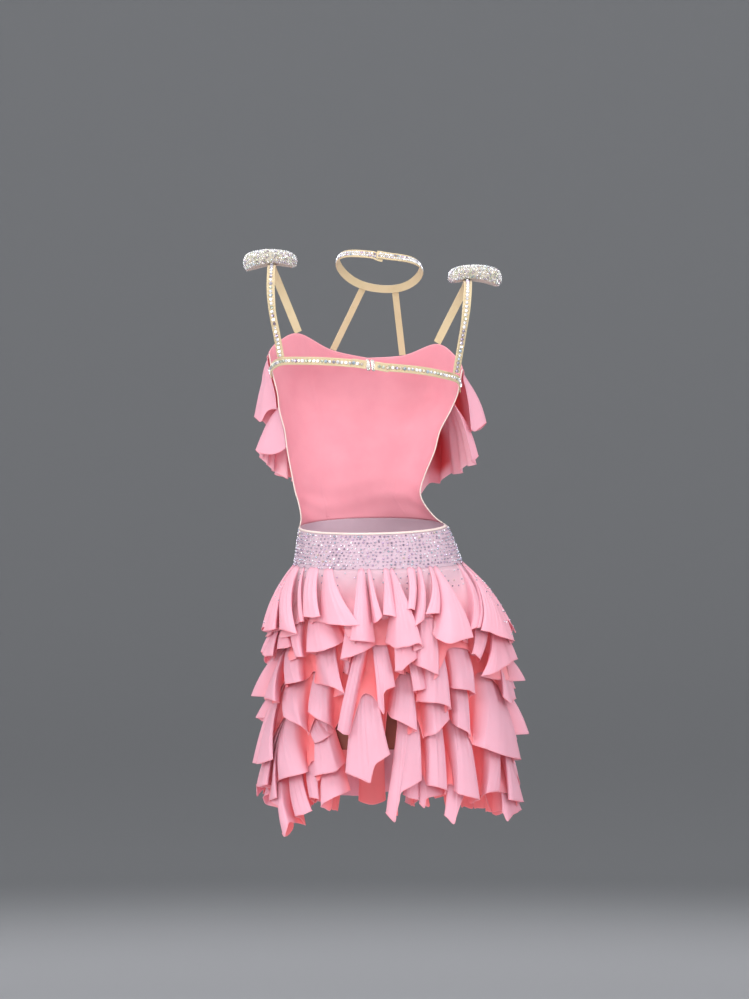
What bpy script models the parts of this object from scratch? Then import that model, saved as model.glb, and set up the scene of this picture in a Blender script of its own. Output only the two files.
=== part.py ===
"""Rumba dance dress: halter and strap bodice with an open back, two bust ruffles, a stoned hip yoke and six
flounced skirt tiers, all as thin cloth walls in the hollow form they take when worn.

Units are metres in the scene and millimetres in the tables. +Z is up, the wearer faces -Y and the wearer's left
is +X. The origin is the middle of the neck ring, where the dress is held up.
"""

import math

import bmesh
import bpy
from mathutils import Vector

MM = 0.001
WALL = 1.0  # cloth wall
SEAM = 0.3  # clearance between sewn pieces
TAPE = 12.0  # width of the elastic tape of straps and bands
TAPE_WALL = 1.4
SIDES = 48  # facets round the figure
POWER = 0.92  # roundness of the figure's sections: 1 is an ellipse

# The figure that the garment is cut for, one row per level.
# z, centre x, half breadth, depth to the front, depth to the back
FIGURE = (
    (-60, 14, 158, 74, 82),
    (-110, 17, 156, 90, 94),
    (-148, 18, 149, 106, 98),
    (-172, 19, 144, 116, 95),
    (-204, 18, 137, 118, 88),
    (-230, 22, 130, 111, 80),
    (-261, 26, 118, 99, 73),
    (-291, 28, 112, 90, 67),
    (-328, 32, 101, 82, 62),
    (-353, 33, 95, 79, 61),
    (-370, 28, 95, 79, 63),
    (-393, 17, 102, 81, 70),
    (-407, 9, 112, 84, 77),
    (-465, 1, 128, 93, 100),
    (-500, -5, 137, 97, 110),
    (-546, -11, 144, 99, 116),
    (-606, -14, 147, 99, 114),
    (-666, -14, 147, 97, 108),
    (-760, -14, 146, 95, 102),
    (-900, -14, 146, 95, 100),
)
CUP = {"angle": 37, "z": -196, "out": 13, "across": 17, "up": 36}

# Skirt tiers: seam level, and one row per fold from the wearer's left to right across the back.
# x on the seam, x and z of the hem's left corner, x and z of its right corner
TIERS = {
    "skirt_tier_1": (-470, (
        (134, 173, -563, 151, -556),
        (122, 149, -557, 126, -568),
        (100, 115, -542, 86, -542),
        (76, 85, -545, 35, -555),
        (29, 33, -604, 7, -581),
        (-8, -8, -577, -63, -585),
        (-80, -72, -575, -139, -574),
        (-118, -142, -556, -152, -561),
        (-133, -156, -549, -202, -576),
    )),
    "skirt_tier_2": (-520, (
        (160, 174, -596, 154, -599),
        (134, 144, -588, 124, -592),
        (92, 106, -594, 42, -572),
        (-28, -24, -621, -49, -606),
        (-58, -51, -612, -88, -628),
        (-136, -145, -598, -157, -618),
        (-180, -181, -591, -203, -604),
    )),
    "skirt_tier_3": (-570, (
        (167, 191, -660, 169, -652),
        (137, 167, -654, 146, -669),
        (119, 140, -642, 109, -630),
        (71, 97, -645, 52, -663),
        (22, 59, -714, 40, -718),
        (2, -4, -654, -23, -643),
        (-76, -53, -663, -104, -678),
        (-116, -106, -648, -143, -651),
        (-158, -155, -630, -182, -621),
        (-191, -196, -609, -214, -637),
    )),
    "skirt_tier_4": (-622, (
        (164, 191, -760, 162, -754),
        (122, 146, -687, 102, -720),
        (82, 100, -684, 67, -708),
        (20, 50, -777, -16, -751),
        (-35, -18, -684, -58, -714),
        (-76, -60, -729, -102, -693),
        (-116, -106, -693, -134, -714),
        (-161, -136, -733, -211, -754),
        (-196, -213, -715, -223, -729),
    )),
    "skirt_tier_5": (-676, (
        (176, 182, -796, 165, -790),
        (127, 155, -787, 100, -769),
        (82, 96, -772, 49, -759),
        (-43, -10, -835, -65, -787),
        (-76, -73, -793, -101, -805),
        (-118, -102, -793, -149, -814),
        (-158, -153, -807, -179, -802),
        (-196, -185, -814, -214, -823),
    )),
    "skirt_tier_6": (-730, (
        (157, 163, -817, 144, -832),
        (130, 145, -870, 128, -841),
        (112, 126, -840, 101, -832),
        (67, 86, -823, 43, -801),
        (-50, -43, -802, -67, -825),
        (-113, -98, -841, -125, -811),
        (-199, -187, -849, -211, -832),
    )),
}
SLIT = {"skirt_tier_5": (48, -9), "skirt_tier_6": (42, -42)}  # x range left open at the centre back
FRONT_FOLDS = 11  # folds from side to side across the front

EASING = 12  # rounds of evening out the gathers on a seam
LEVELS = (0.0, 0.45, 1.0)  # parts of a fold's length with a row of points


def smooth_at(rows, key, column):
    """Catmull-Rom value of a table's column at a level; the first column falls from row to row."""
    if key >= rows[0][0]:
        return rows[0][column]
    for i in range(len(rows) - 1):
        if key >= rows[i + 1][0]:
            break
    else:
        return rows[-1][column]
    a, b = rows[i], rows[i + 1]
    before, after = rows[max(i - 1, 0)], rows[min(i + 2, len(rows) - 1)]
    t = (a[0] - key) / (a[0] - b[0])
    m0 = (b[column] - before[column]) * (a[0] - b[0]) / (before[0] - b[0])
    m1 = (after[column] - a[column]) * (a[0] - b[0]) / (a[0] - after[0])
    return (
        (2 * t**3 - 3 * t**2 + 1) * a[column]
        + (t**3 - 2 * t**2 + t) * m0
        + (3 * t**2 - 2 * t**3) * b[column]
        + (t**3 - t**2) * m1
    )


def powered(value):
    return math.copysign(abs(value) ** POWER, value)


def section(z):
    return [smooth_at(FIGURE, z, column) for column in (1, 2, 3, 4)]


def corner(index, z, off):
    """A corner of the faceted section at level z, moved out by off; 0 is the centre back, and +X comes first."""
    angle = 2 * math.pi * index / SIDES
    cx, half, front, back = section(z)
    depth = back if math.cos(angle) > 0 else front
    out = Vector((math.sin(angle) / half, math.cos(angle) / depth, 0)).normalized()
    degrees = math.degrees(angle) % 360
    for side in (180 - CUP["angle"], 180 + CUP["angle"]):
        off = off + CUP["out"] * math.exp(
            -(((degrees - side) / CUP["across"]) ** 2) - ((z - CUP["z"]) / CUP["up"]) ** 2
        )
    return Vector((cx + half * powered(math.sin(angle)), depth * powered(math.cos(angle)), 0)) + out * off


def on_figure(degrees, z, off=0.0, form=None):
    """A point on the faceted section at z, or at the level form when the cloth hangs clear of the figure."""
    place = (degrees % 360) * SIDES / 360
    low = math.floor(place)
    level = z if form is None else form
    point = corner(low, level, off).lerp(corner(low + 1, level, off), place - low)
    point.z = z
    return point


def angle_of(x, z, off=0.0):
    """The angle on the back half where the section has this x."""
    cx, half, _, _ = section(z)
    share = max(-1.0, min(1.0, (x - cx) / (half + off)))
    return math.degrees(math.asin(math.copysign(abs(share) ** (1 / POWER), share)))


def wobble(i, k):
    """A fixed uneven value from -1 to 1 for fold i of piece k."""
    return math.sin(i * 2.399 + k * 1.731) * 0.6 + math.sin(i * 5.13 + k * 3.07) * 0.4


def yoke_top(a):
    a = math.radians(a)
    return -404 - 11 * max(math.cos(a), 0) - 2.5 * math.sin(a) + 10 * max(-math.cos(a), 0)


def yoke_bottom(a):
    a = math.radians(a)
    return -463 - 6 * max(math.cos(a), 0) - 2.2 * math.sin(a)


def level_at(z):
    """A seam level round the hips, a little lower on the wearer's left."""
    return lambda a: z - 2.2 * math.sin(math.radians(a))


def bodice_top(a):
    """The bodice's top edge: straps at 42 degrees from the centre front, a dip between, sloping to the sides."""
    rows = ((0, -146), (-20, -138), (-42, -118), (-62, -134), (-80, -150), (-92, -157))
    return smooth_at(rows, -abs(a - 180), 1) + 12 * math.sin(math.radians(a))


collection = bpy.data.collections.new("rumba_dance_dress")


def material(name, colour, roughness, metallic=0.0):
    made = bpy.data.materials.new(name)
    made.use_nodes = True
    shader = made.node_tree.nodes["Principled BSDF"]
    shader.inputs["Base Color"].default_value = (*colour, 1)
    shader.inputs["Roughness"].default_value = roughness
    shader.inputs["Metallic"].default_value = metallic
    return made


def add(name, mesh, look):
    mesh.materials.append(look)
    made = bpy.data.objects.new(name, mesh)
    collection.objects.link(made)
    return made


def shell(name, rows, look, ring=False, wall=WALL):
    """Cloth through rows of points given in millimetres, solidified outwards; ring closes each row on itself."""
    mesh = bmesh.new()
    grid = [[mesh.verts.new(point * MM) for point in row] for row in rows]
    count = len(grid[0])
    for upper, lower in zip(grid, grid[1:]):
        for i in range(count if ring else count - 1):
            j = (i + 1) % count
            mesh.faces.new((upper[i], lower[i], lower[j], upper[j]))
    mesh.normal_update()
    data = bpy.data.meshes.new(name)
    mesh.to_mesh(data)
    mesh.free()
    made = add(name, data, look)
    solid = made.modifiers.new("wall", "SOLIDIFY")
    solid.thickness = wall * MM
    solid.offset = 1.0
    solid.use_even_offset = False
    return made


def along(points, steps):
    """Points on a smooth curve through these points."""
    found = []
    for i in range(len(points) - 1):
        a, b = points[i], points[i + 1]
        before, after = points[max(i - 1, 0)], points[min(i + 2, len(points) - 1)]
        for step in range(steps):
            t = step / steps
            found.append(
                0.5
                * (
                    2 * a
                    + (b - before) * t
                    + (2 * before - 5 * a + 4 * b - after) * t**2
                    + (3 * a - before - 3 * b + after) * t**3
                )
            )
    return found + [points[-1]]


def tape(name, points, outs, look, width=TAPE, wall=TAPE_WALL, steps=3):
    """A flat tape along points, its face turned to the outward direction given at each of them."""
    path = along([Vector(p) for p in points], steps)
    faces = along([Vector(o) for o in outs], steps)
    rows = []
    for i, point in enumerate(path):
        run = (path[min(i + 1, len(path) - 1)] - path[max(i - 1, 0)]).normalized()
        side = run.cross(faces[i]).normalized() * width / 2
        rows.append((point + side, point - side))
    return shell(name, rows, look, wall=wall)


# Pads of the shoulders: centre x and z, and the half breadth; the wearer's left first.
PADS = {"shoulder_pad_left": (166, 3.5, 40, 1), "shoulder_pad_right": (-145, -20, 40, -1)}
PAD_DEPTH, PAD_CROWN, PAD_UNDER = 31, 10, 9
PAD_ARCH, PAD_SADDLE, PAD_TILT = (6.5, 12.5), 5, 3.5  # the arch of the top and of the underside
PAD_BLUNT = 0.46  # under 1 squares the pad's ends and walls


def pad_height(p, q, s, side):
    """How far the pad's surface is pulled down at p across and q along the shoulder; s runs from 1, top, to -1."""
    low = (1 - s) / 2
    arch = PAD_ARCH[0] + (PAD_ARCH[1] - PAD_ARCH[0]) * low
    return -arch * p * p - PAD_SADDLE * q * q - PAD_TILT * low * side * p


def shoulder_pad(name, look):
    cx, cz, half, side = PADS[name]
    mesh = bmesh.new()
    bmesh.ops.create_uvsphere(mesh, u_segments=20, v_segments=12, radius=1)
    for vert in mesh.verts:
        p, q, s = (math.copysign(abs(c) ** PAD_BLUNT, c) if abs(c) > 1e-6 else 0.0 for c in vert.co)
        rise = PAD_CROWN if s > 0 else PAD_UNDER
        vert.co = Vector((cx + half * p, PAD_DEPTH * q, cz + rise * s + pad_height(p, q, s, side))) * MM
    data = bpy.data.meshes.new(name)
    mesh.to_mesh(data)
    mesh.free()
    return add(name, data, look)


def under_pad(name, x, y):
    cx, cz, half, side = PADS[name]
    p, q = (x - cx) / half, y / PAD_DEPTH
    s = max(0.0, 1 - abs(p) ** (2 / PAD_BLUNT) - abs(q) ** (2 / PAD_BLUNT)) ** (PAD_BLUNT / 2)
    return cz - PAD_UNDER * s + pad_height(p, q, -s, side)


def spread(dz, reach, ease):
    """How far a fold stands out at dz below its seam: quickly at first, then hanging."""
    return reach * max(dz, 0) / (max(dz, 0) + ease)


def folded(name, seam, folds, look, crest, recess, ring, tops, form=None, lift=0.0):
    """Cloth gathered on a seam and falling in folds.

    folds: (angle on the seam, hem angle and z at one side, hem angle and z at the other), by rising angle.
    crest and recess give the standing-out of fold and trough at a distance below the seam.
    """
    columns = []  # angle on the seam, angle and z at the hem, share of crest
    count = len(folds)
    for i, (top, a0, z0, a1, z1) in enumerate(folds):
        last = folds[i - 1] if i or ring else None
        if last:
            turn = 360 if i == 0 else 0
            gap_top = (last[0] - turn + top) / 2
            before, gap = last[3] - turn, a0 - last[3] + turn
            troughs = 1 + int(max(gap, 0) // 10)
            for n in range(troughs):
                share = (n + 1) / (troughs + 1)
                shift = (share - 0.5) * min(gap, top - last[0] + turn) * 0.5
                columns.append((gap_top + shift, before + gap * share, max(last[4], z0) + lift, 0.0))
            reach = top - gap_top
        else:
            reach = 3.0
        columns.append((top - reach * 0.5, a0, z0, 0.92))
        columns.append((top, (a0 + a1) / 2, (z0 + z1) / 2 - 2, 1.0))
        after = folds[(i + 1) % count][0] + (360 if i == count - 1 else 0)
        reach = (after - top) / 2 if ring or i < count - 1 else 3.0
        columns.append((top + reach * 0.5, a1, z1, 0.92))
    for i in range(1, len(columns)):  # neighbouring folds don't cross
        top, hem, z, share = columns[i]
        top = max(top, columns[i - 1][0] + 0.6)
        hem = max(hem, columns[i - 1][1] + 0.9)
        columns[i] = (top, hem, z, share)
    tops_at = [column[0] for column in columns]
    for _ in range(EASING):  # the gathers spread out along the seam
        for i in range(1, len(tops_at) - 1):
            tops_at[i] = (tops_at[i - 1] + 2 * tops_at[i] + tops_at[i + 1]) / 4
    columns = [(top, *column[1:]) for top, column in zip(tops_at, columns)]
    rows = []
    for t in LEVELS:
        row = []
        for top, hem, z, share in columns:
            angle = top + (hem - top) * t
            start = seam(top)
            level = start + (z - start) * t
            dz = start - level
            off = tops + (1 - share) * recess(dz) + share * crest(dz)
            held = None if form is None else max(level, form)
            row.append(on_figure(angle, level, off, held))
        rows.append(row)
    return shell(name, rows, look, ring=ring)


def back_folds(rows, seam_z, reach, ease):
    """Folds of the back by rising angle, from their x and z."""
    found = []
    for x, x0, z0, x1, z1 in rows:
        found.append((
            angle_of(x, seam_z),
            angle_of(x1, z1, spread(seam_z - z1, reach, ease)),
            z1,
            angle_of(x0, z0, spread(seam_z - z0, reach, ease)),
            z0,
        ))
    return sorted(found)


def front_folds(start, end, count, hem, drop, k):
    """Folds of the front, uneven in width and length, between two angles."""
    found = []
    pitch = (end - start) / count
    for i in range(count):
        middle = start + (i + 0.5) * pitch + 0.12 * pitch * wobble(i, k)
        wide = pitch * (0.36 + 0.07 * wobble(i + 7, k))
        z = hem + drop * wobble(i, k + 3)
        found.append((middle, middle - wide, z - drop * 0.5, middle + wide, z + drop * 0.5))
    return found


def build():
    for old in list(bpy.data.objects):
        bpy.data.objects.remove(old, do_unlink=True)
    bpy.context.scene.collection.children.link(collection)

    pink = material("pink_crepe", (0.89, 0.50, 0.56), 0.62)
    inner = material("pink_lining_side", (0.84, 0.42, 0.46), 0.66)
    lilac = material("stoned_yoke", (0.72, 0.54, 0.63), 0.5)
    mesh_net = material("nude_net", (0.55, 0.33, 0.27), 0.8)
    nude = material("nude_elastic", (0.83, 0.63, 0.42), 0.6)
    stones = material("silver_stones", (0.78, 0.77, 0.72), 0.25, 0.3)
    metal = material("hook_metal", (0.75, 0.74, 0.72), 0.3, 0.9)

    ring = [i * 360 / SIDES for i in range(SIDES)]

    def band_rows(angles, edges, off=0.0):
        return [[on_figure(a, edge(a), off) for a in angles] for edge in edges]

    # Yoke, its edge binding across the open back, and the base that carries the tiers.
    shell("hip_yoke", band_rows(ring, (yoke_top, lambda a: (yoke_top(a) + yoke_bottom(a)) / 2, yoke_bottom)), lilac, ring=True)
    back = [a - 360 if a > 180 else a for a in ring if a <= 90 or a >= 270]
    back.sort()
    shell(
        "yoke_binding",
        band_rows(back, (lambda a: yoke_top(a) - 0.2, lambda a: yoke_top(a) - 4.5), WALL + SEAM),
        nude,
        wall=0.8,
    )
    seams = [level_at(TIERS[name][0]) for name in TIERS]
    seams[0] = lambda a: yoke_bottom(a) - 3
    shell("hip_base", band_rows(ring, (lambda a: yoke_bottom(a) - SEAM, seams[1], lambda a: seams[2](a) - 6)), lilac, ring=True)
    shell("net_base", band_rows(ring, (lambda a: seams[2](a) - 6 - SEAM, seams[3], seams[4], lambda a: seams[5](a) - 6)), mesh_net, ring=True)

    # Skirt tiers, each hanging over the crests of the one below.
    reach, ease = 118.0, 138.0
    for k, (name, (seam_z, rows)) in enumerate(TIERS.items()):
        below = list(TIERS.values())[k + 1][0] if k < 5 else seam_z - 60
        step = seam_z - below

        def crest(dz):
            return spread(dz, reach, ease)

        def recess(dz, step=step):
            return min(0.06 * dz, 3.5) + (spread(dz - step, reach, ease) + 2.5 if dz > step * 0.8 else 0.0)

        folds = back_folds(rows, seam_z, reach, ease)
        first, last = folds[0], folds[-1]
        hem = sum(fold[2] + fold[4] for fold in folds) / (2 * len(folds))
        folds += front_folds(max(last[3], last[0]) + 4, 360 + min(first[1], first[0]) - 4, FRONT_FOLDS, hem, 9, k)
        closed = name not in SLIT
        if not closed:
            cut = [i for i, fold in enumerate(folds) if fold[0] > angle_of(sum(SLIT[name]) / 2, seam_z)][0]
            folds = folds[cut:] + [(t + 360, a + 360, z, b + 360, y) for t, a, z, b, y in folds[:cut]]
        folded(name, seams[k], folds, pink, crest, recess, closed, WALL + SEAM + 0.9)

    # Bodice: one front with cups, from side to side, down to the yoke.
    front = [a for a in ring if 90 <= a <= 270]
    parts = [0, 0.12, 0.24, 0.36, 0.48, 0.62, 0.76, 0.88, 1]
    shell(
        "bodice_front",
        [
            [on_figure(a, bodice_top(a) + (yoke_top(a) + SEAM - bodice_top(a)) * t) for a in front]
            for t in parts
        ],
        inner,
    )

    # Bust ruffles, hung from the bust so that they fall clear of the waist.
    upper_hem = lambda a: -247 - 33 * abs(math.cos(math.radians(a))) + 5 * math.sin(math.radians(a))
    lower_hem = lambda a: -302 + 46 * abs(math.cos(math.radians(a))) * -1 + 10 * math.sin(math.radians(a))
    for name, seam, form, hem, reach_r, count, k in (
        ("bust_ruffle_upper", lambda a: bodice_top(a) - 5, -185, upper_hem, 66, 11, 11),
        ("bust_ruffle_lower", level_at(-222), -222, lower_hem, 84, 12, 12),
    ):
        folds = []
        pitch = 180 / count
        for i in range(count):
            middle = 90 + (i + 0.5) * pitch
            wide = pitch * (0.38 + 0.05 * wobble(i, k))
            folds.append((middle, middle - wide, hem(middle) + 4 * wobble(i, k), middle + wide, hem(middle) - 4 * wobble(i, k)))
        under = 40 if name == "bust_ruffle_upper" else 400
        folded(
            name,
            seam,
            folds,
            pink,
            lambda dz, r=reach_r: spread(dz, r, 105),
            lambda dz, r=reach_r, u=under: min(0.03 * dz, 2) + (spread(dz - u, 72, 105) + 3 if dz > u else 0),
            False,
            WALL + SEAM + 0.7,
            form=form,
        )

    # Neck ring: lower at the front, and lower on the wearer's right.
    neck = []
    for i in range(32):
        a = 2 * math.pi * i / 32
        drop = -20 + 21 * math.cos(a) + (9 if math.cos(a) > -0.2 else 0) * abs(math.sin(a)) ** 2 * math.cos(a / 1) ** 2
        z = drop + 10 * abs(math.sin(a)) ** 3 + 0.1 * 63 * math.sin(a)
        neck.append((Vector((63 * math.sin(a), 56 * math.cos(a), z)), Vector((math.sin(a), math.cos(a), 0.45)).normalized()))
    rows = []
    for sign in (1, -1):
        row = []
        for i, (point, out) in enumerate(neck):
            run = (neck[(i + 1) % 32][0] - neck[i - 1][0]).normalized()
            up = out.cross(run).normalized()
            up = up if up.z > 0 else -up
            row.append(point + up * sign * TAPE / 2)
        rows.append(row)
    shell("neck_band", rows, nude, ring=True, wall=TAPE_WALL)

    # Shoulder pads and the straps that pass under them.
    for name in PADS:
        shoulder_pad(name, stones)
    for name, pad, back_rows, front_angle in (
        ("shoulder_strap_left", "shoulder_pad_left", ((148, 53, -150), (154, 63, -116), (160, 67, -84), (163, 64, -51), (163, 50, -24)), 138),
        ("shoulder_strap_right", "shoulder_pad_right", ((-115, 60, -174), (-121, 68, -137), (-127, 74, -100), (-131, 71, -69), (-133, 52, -43)), 222),
    ):
        points = [Vector(p) for p in back_rows]
        outs = [Vector((0.55 * math.copysign(1, points[0].x), 0.85, 0.1))] * 3 + [Vector((0.1, 0.95, 0.3)), Vector((0, 0.75, 0.65))]
        x = points[-1].x
        for y in (31, 15, -5, -24):
            points.append(Vector((x, y, under_pad(pad, x, max(-20, min(y, 20))) - TAPE_WALL - (4.9 if abs(y) > 20 else 2.9))))
            outs.append(Vector((0, y / 60, 1)))
        end = on_figure(front_angle, bodice_top(front_angle) + 2.8)
        start = points[-1]
        for t, lean in ((0.3, -12), (0.65, -9)):
            mid = start.lerp(end, t)
            points.append(mid + Vector((0, lean, 0)))
            outs.append(Vector((0.1 * math.copysign(1, x), -0.9, 0.4)))
        points.append(end)
        outs.append(Vector((0.45 * math.copysign(1, x), -0.9, 0.1)))
        tape(name, points, outs, nude)

    # Halter straps from the neck ring, whose front they lap, to the bodice's top edge.
    for name, side, angle in (("halter_strap_left", 1, 161), ("halter_strap_right", -1, 199)):
        low = on_figure(angle, bodice_top(angle) + 1.6)
        high = Vector((24 * side, -57, -40 + 2.5 * side))
        mid = high.lerp(low, 0.5) + Vector((0, -3, 0))
        tape(name, (high, mid, low), (Vector((0.2 * side, -1, 0.3)),) * 3, nude, width=10)

    # Back band in two halves, with the hook plate between them.
    halves = {
        "back_band_left": ((166, -176), (163, -168), (155, -161), (142, -157.5), (116, -158), (89, -159), (60, -161), (30, -163.5)),
        "back_band_right": ((-3, -168), (-30, -170), (-58, -172.5), (-85, -176.5), (-112, -182), (-119, -187.5), (-123.5, -197)),
    }
    for name, places in halves.items():
        points, outs = [], []
        for x, z in places:
            angle = angle_of(x, z)
            point = on_figure(angle, z, 1.2)
            points.append(point)
            outs.append(on_figure(angle, z, 11.2) - point)
        tape(name, points, outs, nude, steps=2)
    place = on_figure(angle_of(13.5, -165.6), -165.6, 1.2)
    tape(
        "back_clasp",
        (place + Vector((13.6, 0.3, 1.2)), place, place + Vector((-13.6, 0.3, -1.2))),
        (Vector((0, 1, 0)),) * 3,
        metal,
        width=13,
        wall=2.2,
    )


build()
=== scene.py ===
"""Looks of the rumba dance dress: fine cloth, stones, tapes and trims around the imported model.

Metres in the scene, millimetres in the tables. +Z up, the wearer faces -Y, the camera looks at the back from +Y.
"""

import math

import bmesh
import bpy
import numpy as np
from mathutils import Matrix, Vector


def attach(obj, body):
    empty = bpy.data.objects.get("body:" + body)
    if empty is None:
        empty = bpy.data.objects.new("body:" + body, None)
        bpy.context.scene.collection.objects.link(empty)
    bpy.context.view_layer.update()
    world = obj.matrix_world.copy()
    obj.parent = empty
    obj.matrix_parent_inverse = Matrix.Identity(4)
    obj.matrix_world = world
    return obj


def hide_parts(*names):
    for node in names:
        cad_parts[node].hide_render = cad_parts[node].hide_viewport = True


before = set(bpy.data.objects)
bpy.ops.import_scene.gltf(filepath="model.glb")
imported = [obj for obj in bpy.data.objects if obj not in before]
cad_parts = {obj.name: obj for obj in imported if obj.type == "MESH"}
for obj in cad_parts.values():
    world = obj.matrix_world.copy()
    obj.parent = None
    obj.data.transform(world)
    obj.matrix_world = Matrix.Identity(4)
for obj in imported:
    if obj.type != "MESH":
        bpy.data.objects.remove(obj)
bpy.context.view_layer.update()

MM = 0.001
WALL = 1.0
SEAM = 0.3
TAPE = 12.0
POWER = 0.92
rng = np.random.default_rng(7)

# ---------------------------------------------------------------- the figure the garment is cut for
# z, centre x, half breadth, depth to the front, depth to the back
FIGURE = (
    (-60, 14, 158, 74, 82),
    (-110, 17, 156, 90, 94),
    (-148, 18, 149, 106, 98),
    (-172, 19, 144, 116, 95),
    (-204, 18, 137, 118, 88),
    (-230, 22, 130, 111, 80),
    (-261, 26, 118, 99, 73),
    (-291, 28, 112, 90, 67),
    (-328, 32, 101, 82, 62),
    (-353, 33, 95, 79, 61),
    (-370, 28, 95, 79, 63),
    (-393, 17, 102, 81, 70),
    (-407, 9, 112, 84, 77),
    (-465, 1, 128, 93, 100),
    (-500, -5, 137, 97, 110),
    (-546, -11, 144, 99, 116),
    (-606, -14, 147, 99, 114),
    (-666, -14, 147, 97, 108),
    (-760, -14, 146, 95, 102),
    (-900, -14, 146, 95, 100),
)
CUP = {"angle": 37, "z": -196, "out": 13, "across": 17, "up": 36}


def smooth_at(rows, key, column):
    if key >= rows[0][0]:
        return rows[0][column]
    for i in range(len(rows) - 1):
        if key >= rows[i + 1][0]:
            break
    else:
        return rows[-1][column]
    a, b = rows[i], rows[i + 1]
    before, after = rows[max(i - 1, 0)], rows[min(i + 2, len(rows) - 1)]
    t = (a[0] - key) / (a[0] - b[0])
    m0 = (b[column] - before[column]) * (a[0] - b[0]) / (before[0] - b[0])
    m1 = (after[column] - a[column]) * (a[0] - b[0]) / (a[0] - after[0])
    return (
        (2 * t**3 - 3 * t**2 + 1) * a[column]
        + (t**3 - 2 * t**2 + t) * m0
        + (3 * t**2 - 2 * t**3) * b[column]
        + (t**3 - t**2) * m1
    )


LEVEL = np.arange(-960.0, 1.0, 1.0)
LOOK_UP = [np.array([smooth_at(FIGURE, z, c) for z in LEVEL]) for c in (1, 2, 3, 4)]


def section(z):
    return [np.interp(z, LEVEL, values) for values in LOOK_UP]


def powered(value):
    return np.copysign(np.abs(value) ** POWER, value)


def on_figure(degrees, z, off=0.0, form=None):
    """Points (millimetres) at these angles and levels, moved out by off. 0 degrees is the centre back, +X first."""
    degrees, z = np.broadcast_arrays(np.asarray(degrees, float), np.asarray(z, float))
    level = z if form is None else np.maximum(z, form)
    cx, half, front, back = section(level)
    a = np.radians(degrees)
    s, c = np.sin(a), np.cos(a)
    depth = np.where(c > 0, back, front)
    nx, ny = s / half, c / depth
    size = np.hypot(nx, ny)
    turned = degrees % 360
    off = off + 0 * z
    for side in (180 - CUP["angle"], 180 + CUP["angle"]):
        off = off + CUP["out"] * np.exp(-(((turned - side) / CUP["across"]) ** 2) - ((level - CUP["z"]) / CUP["up"]) ** 2)
    return np.stack([cx + half * powered(s) + nx / size * off, depth * powered(c) + ny / size * off, z], -1)


def angle_of(x, z, off=0.0):
    cx, half, _, _ = (float(v) for v in section(z))
    share = max(-1.0, min(1.0, (x - cx) / (half + off)))
    return math.degrees(math.asin(math.copysign(abs(share) ** (1 / POWER), share)))


def wobble(i, k):
    return math.sin(i * 2.399 + k * 1.731) * 0.6 + math.sin(i * 5.13 + k * 3.07) * 0.4


def yoke_top(a):
    a = np.radians(a)
    return -404 - 11 * np.maximum(np.cos(a), 0) - 2.5 * np.sin(a) + 10 * np.maximum(-np.cos(a), 0)


def yoke_bottom(a):
    a = np.radians(a)
    return -463 - 6 * np.maximum(np.cos(a), 0) - 2.2 * np.sin(a)


def level_at(z):
    return lambda a: z - 2.2 * np.sin(np.radians(a))


TOP_ROWS = ((0, -146), (-20, -138), (-42, -118), (-62, -134), (-80, -150), (-92, -157))


def bodice_top(a):
    a = np.asarray(a, float)
    values = np.array([smooth_at(TOP_ROWS, -abs(v - 180), 1) for v in a.ravel()]).reshape(a.shape)
    return values + 12 * np.sin(np.radians(a))


# ---------------------------------------------------------------- meshes
def unit(v):
    return v / np.maximum(np.linalg.norm(v, axis=-1, keepdims=True), 1e-9)


def mesh_object(name, verts, faces, uv=None, smooth=True):
    mesh = bpy.data.meshes.new(name)
    mesh.from_pydata((np.asarray(verts) * MM).tolist(), [], faces if isinstance(faces, list) else faces.tolist())
    if uv is not None:
        layer = mesh.uv_layers.new(name="cloth")
        loops = np.empty(len(mesh.loops), np.int32)
        mesh.loops.foreach_get("vertex_index", loops)
        layer.data.foreach_set("uv", (np.asarray(uv)[loops] * MM).ravel())
    if smooth:
        mesh.polygons.foreach_set("use_smooth", np.ones(len(mesh.polygons), bool))
    made = bpy.data.objects.new(name, mesh)
    bpy.context.scene.collection.objects.link(made)
    return made


def grid_faces(rows, columns, ring):
    i = np.arange(rows - 1)[:, None]
    j = np.arange(columns if ring else columns - 1)[None, :]
    k = (j + 1) % columns
    return np.stack([i * columns + j + 0 * k, (i + 1) * columns + j, (i + 1) * columns + k, i * columns + k], -1).reshape(-1, 4)


def cloth(name, grid, ring=False, wall=0.6, offset=1.0, share=None, way=None, lit=None):
    """Cloth through a grid of points (rows, columns, 3), with a real thickness. UV is in metres along the cloth."""
    rows, columns = grid.shape[:2]
    across = np.linalg.norm(np.diff(grid, axis=1), axis=2).cumsum(1)
    across = np.concatenate([np.zeros((rows, 1)), across], 1)
    down = np.linalg.norm(np.diff(grid, axis=0), axis=2).cumsum(0)
    down = np.concatenate([np.zeros((1, columns)), down], 0)
    mid = across[rows // 2]
    uv = np.stack([np.broadcast_to(mid, (rows, columns)), -down], -1).reshape(-1, 2)
    made = mesh_object(name, grid.reshape(-1, 3), grid_faces(rows, columns, ring), uv)
    for label, values in (("share", share), ("way", way), ("lit", lit)):
        layer = made.data.attributes.new(label, "FLOAT", "POINT")
        layer.data.foreach_set("value", np.ascontiguousarray(np.ones(rows * columns) if values is None else values.ravel(), np.float32))
    solid = made.modifiers.new("wall", "SOLIDIFY")
    solid.thickness, solid.offset, solid.use_even_offset = wall * MM, offset, False
    if lit is not None:
        solid.material_offset = solid.material_offset_rim = 1
    return made


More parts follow.
